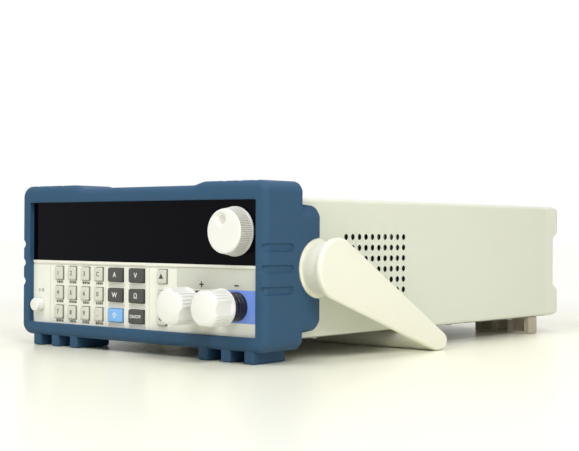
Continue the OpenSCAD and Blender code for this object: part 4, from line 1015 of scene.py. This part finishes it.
class LOAD_OT_controls(MakeOperator, bpy.types.Operator):
    """Makes the power button and the fluted knob with its finger dimple"""

    bl_idname = "bench_load.controls"
    bl_label = "Knob and button"

    def execute(self, context):
        settings = self.settings(context)
        ivory = bright_plastic(settings.colours)
        shell = Shell().add(self.knob_grid(settings.knob), wrap_columns=True)
        add_piece("knob", shell.mesh("knob", sharp_degrees=30), "knob",
                  self.knob_plastic_and_flute_shade(settings), ["control_knob"])
        shell = Shell().add(self.button_grid(), wrap_columns=True)
        add_piece("button", shell.mesh("button"), "button", ivory, ["power_button"])
        dress(plated_metal("zinc_steel", **ZINC), "encoder_shaft")
        dress(dark_plastic(), "rotary_encoder", "power_switch")
        return {"FINISHED"}

    def knob_plastic_and_flute_shade(self, settings):
        """Bright plastic with painted shade down the flutes: the fourth power of the cosine of half the
        flute angle about the knob's axis."""
        sizes, bright = settings.knob, settings.colours.bright
        plastic = Finish("knob_ivory", bright, **SATIN)
        tree = plastic.tree
        split = tree.nodes.new("ShaderNodeSeparateXYZ")
        tree.links.new(plastic.place, split.inputs[0])
        x, y, z = split.outputs
        angle = math_node(tree, "ARCTAN2", math_node(tree, "SUBTRACT", z, KNOB.z),
                          math_node(tree, "SUBTRACT", x, KNOB.x))
        wave = math_node(tree, "COSINE", math_node(tree, "MULTIPLY", angle, sizes.flutes / 2))
        square = math_node(tree, "MULTIPLY", wave, wave)
        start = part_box("control_knob")[1].y - sizes.rim
        side = math_node(tree, "MULTIPLY", math_node(tree, "LESS_THAN", y, start),
                         math_node(tree, "GREATER_THAN", y, start - sizes.fluted))
        groove = math_node(tree, "MULTIPLY", math_node(tree, "MULTIPLY", square, square), side)
        # Painted shade down the flutes of the knob's side
        shaded = plastic.mix(groove, plastic.colour, np.array(bright) * FLUTE_SHADE)
        tree.links.new(shaded, plastic.shader.inputs["Base Color"])
        return plastic.material

    def knob_grid(self, sizes):
        """Turned knob that tapers to its face; flutes cut the tapered rows by the squared cosine of half
        the flute angle, and the front rows sink into a sphere beside the middle."""
        low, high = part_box("control_knob")
        total = high.y - low.y
        rim = (high.x - low.x) / 2
        soft = 0.3 * MM
        face = sizes.front_diameter / 2
        edge_r, edge_h = round_corner(face, total, sizes.front_edge)
        disc = np.linspace(edge_r[-1], 0, 26)[1:]
        rows = np.linspace(sizes.rim, sizes.rim + sizes.fluted, 8)
        taper = (rows - sizes.rim) / (edge_h[0] - sizes.rim)
        radius = np.concatenate([
            [0, sizes.recess_radius, sizes.recess_radius, rim - soft, rim, rim, rim - soft],
            rim - soft + (face - rim + soft) * taper, edge_r, disc])
        height = np.concatenate([
            [sizes.recess, sizes.recess, 0, 0, soft, sizes.rim - soft, sizes.rim],
            rows, edge_h, np.full(len(disc), total)])
        steps = sizes.flutes * 10
        turn = np.linspace(0, 2 * np.pi, steps, endpoint=False)
        fluted = np.isin(height, rows[1:])
        wave = sizes.flute_depth * np.cos(sizes.flutes * turn / 2) ** 2
        radius = radius[:, None] - fluted[:, None] * wave
        height = np.repeat(height[:, None], steps, axis=1)
        across = sizes.dimple_place * math.cos(sizes.dimple_turn)
        up = sizes.dimple_place * math.sin(sizes.dimple_turn)
        away = np.hypot(radius * np.cos(turn) - across, radius * np.sin(turn) - up)
        ball = sizes.dimple_radius
        bowl = total + ball - sizes.dimple_depth - np.sqrt(np.maximum(ball ** 2 - away ** 2, 0))
        skin = 0.2 * MM
        front = height > total - skin
        height = np.where(front & (away < ball), np.minimum(height, bowl), height)
        return revolved(radius, height, (KNOB.x, high.y, KNOB.z), "front", steps)

    def button_grid(self):
        """Turned push button with a round front edge and a flange behind the panel."""
        low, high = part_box("power_button")
        middle = (low + high) / 2
        flange = (high.x - low.x) / 2
        lip, edge, plunger = 1 * MM, 1.1 * MM, 2.4 * MM
        radius = flange - lip
        total = high.y - low.y
        shank = high.y - PANEL_BACK
        edge_r, edge_h = round_corner(radius, total, edge)
        rows_r = np.concatenate([[0, plunger, plunger, flange, flange, radius], edge_r, [0]])
        rows_h = np.concatenate([[0, 0, shank - lip, shank - lip, shank, shank], edge_h, [total]])
        return revolved(rows_r, rows_h, (middle.x, high.y, middle.z), "front", steps=64)


class LOAD_OT_posts(MakeOperator, bpy.types.Operator):
    """Makes the screw caps of the binding posts, and finishes collars, washers and studs"""

    bl_idname = "bench_load.posts"
    bl_label = "Binding posts"

    def execute(self, context):
        settings = self.settings(context)
        sizes, colours = settings.post, settings.colours
        ivory = bright_plastic(colours)
        for sign, turn in (("positive", sizes.positive_turn), ("negative", sizes.negative_turn)):
            cap = sign + "_cap"
            shell = Shell().add(self.cap_grid(sizes, cap, turn), wrap_columns=True)
            add_piece("cap_" + sign, shell.mesh(cap, sharp_degrees=35), cap, ivory, [cap])
        nickel = plated_metal("nickel_plate", NICKEL, (0.22, 0.36))
        dress(nickel, "positive_washer", "negative_washer", "post_hardware", "standoffs")
        dress(finish("red_collar", colours.post_red, **COLLAR), "positive_base")
        dress(finish("black_collar", colours.post_black, **COLLAR), "negative_base")
        return {"FINISHED"}

    def cap_grid(self, sizes, node, turn_by):
        """Turned cap with a plain flange at the rear. Ahead of it four round scoops cut the side as far
        as the nose, with grooves on the lands between; a scoop is the near side of a circle whose
        middle lies outside the cap."""
        low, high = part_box(node)
        total = high.y - low.y
        x, _, z = JOINTS[node.replace("cap", "screw")]["pos_m"]
        cap = sizes.diameter / 2
        nose_r, nose_h = round_corner(cap, total - sizes.dome, sizes.nose, steps=12)
        bevel_in, bevel_up, run_in = 0.8 * MM, 0.6 * MM, 2 * MM
        grip = np.linspace(bevel_up, nose_h[0], 28)[:-1]
        face = np.linspace(1, 0, 9)[1:]
        profile = np.concatenate([
            [0, sizes.bore, sizes.bore, cap - bevel_in], np.full(len(grip), cap), nose_r, nose_r[-1] * face])
        height = np.concatenate([
            [sizes.bore_depth, sizes.bore_depth, 0, 0], grip, nose_h, total - sizes.dome * face ** 2])
        steps = 576
        turn = np.linspace(0, 2 * np.pi, steps, endpoint=False) - turn_by
        sector = (turn + np.pi / 4) % (np.pi / 2) - np.pi / 4
        ball = sizes.scoop_radius
        centre = cap + ball - sizes.scoop_depth
        inside = np.maximum(ball ** 2 - (centre * np.sin(sector)) ** 2, 0)
        scoop = np.minimum(np.where(inside > 0, centre * np.cos(sector) - np.sqrt(inside), cap), cap)
        land = sector - np.sign(sector) * np.pi / 4
        rib_angle, ribs_half, flank, floor = math.radians(11), 2.5, 0.3, 0.9
        ribs = smoothstep(flank, floor, np.cos(2 * np.pi * land / rib_angle))
        ribs = np.where(np.abs(land) < ribs_half * rib_angle, ribs, 0)
        cut = np.maximum(cap - scoop, sizes.rib_depth * ribs)
        ahead = smoothstep(sizes.flange, sizes.flange + run_in, height)
        radius = np.minimum(profile[:, None], cap - ahead[:, None] * cut)
        return revolved(radius, height, (x, high.y, z), "front", steps)


class LOAD_OT_handle(MakeOperator, bpy.types.Operator):
    """Makes the bail handle: two plates with round rims, the grip bar, and the hubs they turn on"""

    bl_idname = "bench_load.handle"
    bl_label = "Handle and hubs"

    def execute(self, context):
        settings = self.settings(context)
        sizes = settings.handle
        ivory = handle_plastic(settings.colours)
        for facing, side in (("right", 1), ("left", -1)):
            node = "handle_arm_" + facing
            arm = self.arm_shell(sizes, facing, side).mesh(node, sharp_degrees=35)
            add_piece("arm_" + facing, arm, "handle", ivory, [node])
        grip = self.grip_shell(sizes).mesh("grip", sharp_degrees=35)
        add_piece("grip", grip, "handle", ivory, ["handle_grip"])
        hubs = Shell()
        for facing in ("right", "left"):
            hubs.add(self.hub_grid(sizes, facing), wrap_columns=True)
        add_piece("hubs", hubs.mesh("hubs"), "chassis", ivory, ["pivot_hubs"])
        return {"FINISHED"}

    def arm_outline(self, sizes):
        """Outline in y and z about the pivot: arcs of the head, the toe and the grip's round end. The
        line that touches two of them has a normal that leans from the line between their middles
        by the arc cosine of the radii's difference over its length."""
        low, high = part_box("handle_grip")
        end = np.array([high.y - sizes.grip - PIVOT.y, low.z + sizes.grip - PIVOT.z])
        toe = end + np.array([-sizes.grip_flat, sizes.toe - sizes.grip])
        centres = np.array([[0, 0], toe, end])
        radii = np.array([sizes.head, sizes.toe, sizes.grip])
        ahead = np.roll(centres, -1, axis=0) - centres
        drop = (radii - np.roll(radii, -1)) / np.hypot(ahead[:, 0], ahead[:, 1])
        leave = np.arctan2(ahead[:, 1], ahead[:, 0]) - np.arccos(drop)
        turn = (leave - np.roll(leave, 1)) % (2 * np.pi)
        angle = np.roll(leave, 1)[:, None] + turn[:, None] * np.linspace(0, 1, 48)
        normals = np.stack([np.cos(angle), np.sin(angle)], axis=-1)
        points = centres[:, None] + radii[:, None, None] * normals
        return points.reshape(-1, 2), normals.reshape(-1, 2)

    def arm_shell(self, sizes, facing, side):
        """Plate with a round rim, boss round the spigot, and a rib along the inner face."""
        low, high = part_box("handle_arm_right")
        inside, outside = low.x, high.x
        points, normals = self.arm_outline(sizes)
        small, rim = sizes.small_edge, sizes.rim
        back = outside - sizes.plate
        angles = np.linspace(0, np.pi / 2, 7)
        steps = [(small * (1 - math.sin(a)), back + small * (1 - math.cos(a))) for a in angles]
        steps += [(rim * (1 - math.cos(a)), outside - rim * (1 - math.sin(a))) for a in angles]
        rows = []
        for inset, x in steps:
            moved = points - normals * inset
            rows.append(np.stack([np.full(len(moved), side * x), PIVOT.y + moved[:, 0],
                                  PIVOT.z + moved[:, 1]], axis=-1))
        shell = Shell().add(np.stack(rows), wrap_columns=True, cap_first=True, cap_last=True)
        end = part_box("pivot_hubs")[1].x + sizes.bore_room
        radius = [sizes.bore, sizes.bore, sizes.boss, sizes.boss, 0, 0]
        height = [end, inside, inside, back + small, back + small, end]
        boss = revolved(radius, height, (0, PIVOT.y, PIVOT.z), facing)
        shell.add(boss, wrap_rows=True, wrap_columns=True)
        shell.add(self.rib_grid(sizes, side, back), wrap_columns=True, cap_first=True, cap_last=True)
        return shell

    def rib_grid(self, sizes, side, back):
        """Stiffening rib on the inner face: a block along +Y, turned about the pivot to the grip."""
        low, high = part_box("handle_grip")
        middle = np.array([(low.y + high.y) / 2 - PIVOT.y, (low.z + high.z) / 2 - PIVOT.z])
        reach = np.hypot(*middle) - 2 * sizes.grip - sizes.grip_flat / 2
        grid = rounded_block((back - sizes.rib, sizes.boss / 2, -sizes.rib_half),
                             (back + sizes.small_edge, reach, sizes.rib_half), sizes.small_edge)
        cos, sin = middle / np.hypot(*middle)
        x, along, across = np.moveaxis(grid, -1, 0)
        return np.stack([side * x, PIVOT.y + along * cos - across * sin,
                         PIVOT.z + along * sin + across * cos], axis=-1)

    def grip_shell(self, sizes):
        """Bar between the arms' plates; its section is two half circles with a flat stretch between."""
        low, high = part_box("handle_grip")
        turn = np.linspace(0, 2 * np.pi, 48, endpoint=False)
        middle_y = high.y - sizes.grip - sizes.grip_flat / 2
        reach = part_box("handle_arm_right")[1].x - sizes.plate
        y = middle_y + sizes.grip * np.cos(turn) + np.sign(np.cos(turn)) * sizes.grip_flat / 2
        z = low.z + sizes.grip + sizes.grip * np.sin(turn)
        rows = [np.stack([np.full(len(turn), x), y, z], axis=-1) for x in np.linspace(-reach, reach, 25)]
        return Shell().add(np.stack(rows), wrap_columns=True, cap_first=True, cap_last=True)

    def hub_grid(self, sizes, facing):
        """Turned hub: barrel, flange with soft edges, and the spigot of the pivot."""
        end, _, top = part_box("pivot_hubs")[1]
        flange = top - PIVOT.z
        rise, soft = 1 * MM, 0.5 * MM
        barrel = flange - rise
        wall = CASE_HIGH.x
        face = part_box("handle_arm_right")[0].x - sizes.hub_gap
        lip = face - sizes.hub_lip
        spigot = sizes.spigot
        radius = [0, barrel, barrel, flange - soft, flange, flange, flange - soft, spigot, spigot, 0]
        height = [wall, wall, lip, lip, lip + soft, face - soft, face, face, end, end]
        return revolved(radius, height, (0, PIVOT.y, PIVOT.z), facing, steps=128)


class LOAD_OT_case(MakeOperator, bpy.types.Operator):
    """Finishes the sheet-metal case and its fasteners"""

    bl_idname = "bench_load.case"
    bl_label = "Case"

    def execute(self, context):
        colours = self.settings(context).colours
        dress(powder_coat(colours), "top_cover")
        dress(plated_metal("zinc_steel", **ZINC), "bottom_chassis", "cover_screws")
        rubber = finish("taupe_rubber", colours.foot, tone=0.08, roughness=(0.6, 0.75), bump=0.15)
        dress(rubber, "rear_feet")
        return {"FINISHED"}


class LOAD_OT_bezel(MakeOperator, bpy.types.Operator):
    """Makes the rear frame: a section carried round the case, with a prong at each corner"""

    bl_idname = "bench_load.bezel"
    bl_label = "Rear bezel"

    def execute(self, context):
        settings = self.settings(context)
        shell = Shell().add(self.ring(settings.bezel), wrap_rows=True, wrap_columns=True)
        ivory = finish("bezel_ivory", settings.colours.bezel, tone=0.02, roughness=(0.45, 0.55),
                       bump=0.04)
        add_piece("bezel", shell.mesh("bezel"), "chassis", ivory, ["rear_bezel"])
        return {"FINISHED"}

    def drawn_in(self, sizes, outline, margin, depth):
        """One row of the ring: the outline moved in by a margin, less at the sides, with corners that
        tighten to a small radius and then move in too."""
        points, normals = outline
        margin = np.broadcast_to(margin, len(points))
        pull = np.array([sizes.side_depth / sizes.round_depth, 1])
        last_corner = 0.2 * MM
        moved = points - normals * pull * np.minimum(margin, sizes.corner - last_corner)[:, None]
        x = np.clip(moved[:, 0], margin * pull[0] - CASE_W / 2, CASE_W / 2 - margin * pull[0])
        z = np.clip(moved[:, 1] - MID_Z, margin - CASE_H / 2, CASE_H / 2 - margin) + MID_Z
        return np.stack([x, np.broadcast_to(depth, len(points)), z], axis=-1)

    def margin(self, sizes, depth):
        """How far the outside draws in at a depth: a quarter of an ellipse up to the prongs' ends."""
        share = np.clip((depth - BEZEL_HIGH.y) / sizes.round_length + 1, 0, 1)
        return sizes.round_depth * (1 - np.sqrt(1 - share ** 2))

    def ring(self, sizes):
        """Rows of the section from the case over the outside, the rear edge and the inside; the
        rear edge drops between the prongs along a steep slope."""
        share_w = np.linspace(0, 1, 160)
        share_h = np.linspace(0, 1, 110)
        shares = (share_w, share_h, share_w, share_h)
        outside = rounded_rect(CASE_W, CASE_H, sizes.corner, MID_Z, shares)
        inside = rounded_rect(CASE_W - 2 * sizes.rim, CASE_H - 2 * sizes.rim, sizes.corner, MID_Z, shares)
        points, normals = outside
        over_h = np.abs(points[:, 1] - MID_Z) - sizes.gap_height / 2
        over_w = np.abs(points[:, 0]) - sizes.gap_width / 2
        over = np.where(np.abs(normals[:, 0]) > math.sqrt(0.5), over_h, over_w)
        rear = BEZEL_HIGH.y - sizes.prong * (1 - np.clip(over / sizes.slope, 0, 1))
        start, soft = BEZEL_LOW.y, sizes.soft
        rows = [self.drawn_in(sizes, outside, soft, start)]
        for angle in np.linspace(0, np.pi / 2, 18):
            depth = start + soft + (rear - start - soft) * np.sin(angle)
            rows.append(self.drawn_in(sizes, outside, self.margin(sizes, depth), depth))
        rows.append(section_row(inside, soft, rear))
        rows.append(section_row(inside, 0, rear - soft))
        rows.append(section_row(inside, 0, start))
        return np.stack(rows)


class LOAD_OT_rear(MakeOperator, bpy.types.Operator):
    """Finishes the fan, the connectors and the pieces inside the case"""

    bl_idname = "bench_load.rear"
    bl_label = "Rear and inside"

    def execute(self, context):
        colours = self.settings(context).colours
        dress(finish("rear_paint", colours.paint, **POWDER), "rear_panel")
        dress(dark_plastic(), "fan_frame", "fan_impeller", "power_transistors")
        dress(plated_metal("bright_wire", BRIGHT_WIRE, (0.12, 0.22)), "fan_guard")
        dress(self.inlet_plastic(), "mains_inlet")
        dress(self.socket_steel(colours), "serial_socket")
        self.add_signs(colours)
        dress(finish("green_terminal", TERMINAL_GREEN, roughness=(0.35, 0.5)), "sense_terminals")
        dress(plated_metal("extruded_aluminium", ALUMINIUM, (0.35, 0.5)), "heat_sink")
        dress(finish("core_varnish", CORE_VARNISH, tone=0.3, roughness=(0.3, 0.6)), "transformer")
        return {"FINISHED"}

    def inlet_plastic(self):
        """Black moulding of the mains inlet, with three bright pins that stand on the floor of its mouth."""
        low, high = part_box("mains_inlet")
        middle = (low + high) / 2
        moulding = Finish("inlet_black", **MOULDING)
        half = Vector((1.05, 3.5, 2.05)) * MM
        spread, rise, depth = 7 * MM, 2 * MM, 5.6 * MM
        for across, up in ((-spread, -rise), (0, rise), (spread, -rise)):
            pin = Vector((middle.x + across, low.y + depth, middle.z + up))
            moulding.field(pin - half, pin + half, CONTACT_PIN)
        return moulding.material

    def socket_steel(self, colours):
        """Steel of the serial socket, with the dark insulator inside its shell."""
        low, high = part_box("serial_socket")
        middle = (low + high) / 2
        steel = Finish("socket_steel", **ZINC, **PLATE)
        half = Vector((6.6, 2.1, 3.3)) * MM
        setback = 2.8 * MM
        insulator = Vector((middle.x, high.y - setback, middle.z))
        return steel.field(insulator - half, insulator + half, colours.inside).material

    def add_signs(self, colours):
        """Signs of the sense terminals, on the rear panel over the two ends of their block."""
        low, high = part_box("sense_terminals")
        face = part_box("rear_panel")[1].y
        ink = legend_ink("dark_ink", colours.ink)
        size, inset, rise = 5 * MM, 4 * MM, 4 * MM
        signs = (("sign_sense_plus", "+", high.x - inset), ("sign_sense_minus", "−", low.x + inset))
        for name, sign, x in signs:
            mesh = sign_mesh(sign, size, (x, face, high.z + rise), math.pi)
            add_piece(name, mesh, "chassis", ink)


class LOAD_OT_stage(MakeOperator, bpy.types.Operator):
    """Sets the camera, the soft lamps, the white surround and the pale floor"""

    bl_idname = "bench_load.stage"
    bl_label = "Stage"
    SENSOR_WIDTH = 36
    NEAR_CLIP = 0.01

    def execute(self, context):
        settings = self.settings(context)
        stage = settings.stage
        scene = context.scene
        scene.view_settings.view_transform = "Standard"
        scene.camera = self.add_camera(stage)
        self.light_world(stage)
        self.add_lamp("top_lamp", stage.top_place, stage.lamp_size, stage.top_lamp)
        self.add_lamp("front_lamp", stage.front_place, stage.lamp_size, stage.front_lamp)
        self.add_lamp("side_lamp", stage.side_place, stage.lamp_size, stage.side_lamp)
        self.add_floor(stage, settings.colours)
        return {"FINISHED"}

    def add_camera(self, stage):
        """Camera turned left by the yaw, up by the pitch, then rolled."""
        data = bpy.data.cameras.new("camera")
        data.sensor_width = self.SENSOR_WIDTH
        data.sensor_fit = "HORIZONTAL"
        data.lens = stage.lens
        data.clip_start = self.NEAR_CLIP
        camera = bpy.data.objects.new("camera", data)
        bpy.context.scene.collection.objects.link(camera)
        turn = Matrix.Rotation(stage.camera_yaw, 4, "Z")
        tilt = Matrix.Rotation(math.pi / 2 + stage.camera_pitch, 4, "X")
        roll = Matrix.Rotation(stage.camera_roll, 4, "Z")
        camera.matrix_world = Matrix.Translation(stage.camera_place) @ turn @ tilt @ roll
        return camera

    def add_lamp(self, name, place, size, power):
        """Square soft lamp that points at the middle of the load."""
        data = bpy.data.lights.new(name, "AREA")
        data.size = size
        data.energy = power
        lamp = bpy.data.objects.new(name, data)
        bpy.context.scene.collection.objects.link(lamp)
        aim = Vector((0, 0, MID_Z)) - Vector(place)
        lamp.matrix_world = Matrix.Translation(place) @ aim.to_track_quat("-Z", "Y").to_matrix().to_4x4()

    def seen(self, tree):
        """1 for rays that show the surround: camera, glossy and transmission rays."""
        path = tree.nodes.new("ShaderNodeLightPath")
        seen = math_node(tree, "MAXIMUM", path.outputs["Is Camera Ray"], path.outputs["Is Glossy Ray"])
        return math_node(tree, "MAXIMUM", seen, path.outputs["Is Transmission Ray"])

    def light_world(self, stage):
        """Even light on the object, and plain white where the surround is seen."""
        world = bpy.data.worlds.new("surround")
        bpy.context.scene.world = world
        world.use_nodes = True
        tree = world.node_tree
        sky = tree.nodes["Background"]
        sky.inputs["Color"].default_value = (1, 1, 1, 1)
        spread = tree.nodes.new("ShaderNodeMapRange")
        spread.inputs["To Min"].default_value = stage.sky
        spread.inputs["To Max"].default_value = 1
        tree.links.new(self.seen(tree), spread.inputs["Value"])
        tree.links.new(spread.outputs["Result"], sky.inputs["Strength"])

    def add_floor(self, stage, colours):
        """Large disc under the load; its pale surface turns to plain white far away."""
        turn = np.linspace(0, 2 * np.pi, 96, endpoint=False)
        rings = np.array([0.0, 0.5, 1, 2, 4, 8])[:, None]
        drop = 0.1 * MM
        grid = np.stack([rings * np.cos(turn), rings * np.sin(turn), 0 * rings * turn - drop], axis=-1)
        mesh = Shell().add(grid, wrap_columns=True).mesh("floor")
        if mesh.polygons[0].normal.z < 0:
            mesh.flip_normals()
        floor = bpy.data.objects.new("floor", mesh)
        bpy.context.scene.collection.objects.link(floor)
        ground = Finish("floor", colours.floor, tone=0.01, roughness=(0.3, 0.3), bump=0.0, mottle=6.0,
                        specular=0.5)
        self.fade_floor(stage, ground)
        mesh.materials.append(ground.material)

    def fade_floor(self, stage, ground):
        """Mixes the floor with white light by its distance from the load, where it is seen."""
        tree = ground.tree
        distance = tree.nodes.new("ShaderNodeVectorMath")
        distance.operation = "LENGTH"
        tree.links.new(ground.place, distance.inputs[0])
        far = tree.nodes.new("ShaderNodeMapRange")
        far.interpolation_type = "SMOOTHSTEP"
        far.inputs["From Min"].default_value = stage.fade_start
        far.inputs["From Max"].default_value = stage.fade_end
        tree.links.new(distance.outputs["Value"], far.inputs["Value"])
        share = math_node(tree, "MULTIPLY", far.outputs["Result"], self.seen(tree))
        white = tree.nodes.new("ShaderNodeEmission")
        white.inputs["Color"].default_value = (*FAR_FLOOR, 1)
        blend = tree.nodes.new("ShaderNodeMixShader")
        tree.links.new(share, blend.inputs[0])
        tree.links.new(ground.shader.outputs[0], blend.inputs[1])
        tree.links.new(white.outputs[0], blend.inputs[2])
        tree.links.new(blend.outputs[0], tree.nodes["Material Output"].inputs["Surface"])


class LOAD_PT_sidebar(bpy.types.Panel):
    """Lists the operators of the bench load"""

    bl_idname = "LOAD_PT_sidebar"
    bl_label = "Bench load"
    bl_space_type = "VIEW_3D"
    bl_region_type = "UI"
    bl_category = "Bench load"

    def draw(self, context):
        for operator in OPERATORS:
            self.layout.operator(operator.bl_idname)


OPERATORS = (
    LOAD_OT_stage, LOAD_OT_bumper, LOAD_OT_panel, LOAD_OT_keys, LOAD_OT_controls,
    LOAD_OT_posts, LOAD_OT_handle, LOAD_OT_case, LOAD_OT_bezel, LOAD_OT_rear,
)
CLASSES = (
    BumperSizes, KnobSizes, PostSizes, HandleSizes, BezelSizes, PrintAndShadeSizes, Colours,
    StageSettings, LoadSettings, *OPERATORS, LOAD_PT_sidebar,
)


def register():
    """Registers the classes and the scene's settings."""
    for item in CLASSES:
        bpy.utils.register_class(item)
    bpy.types.Scene.bench_load = PointerProperty(type=LoadSettings)


def unregister():
    """Removes the settings and the classes."""
    del bpy.types.Scene.bench_load
    for item in reversed(CLASSES):
        bpy.utils.unregister_class(item)


def main():
    """Makes every piece in order."""
    register()
    for operator in OPERATORS:
        group, name = operator.bl_idname.split(".")
        getattr(getattr(bpy.ops, group), name)()


if __name__ == "__main__":
    main()
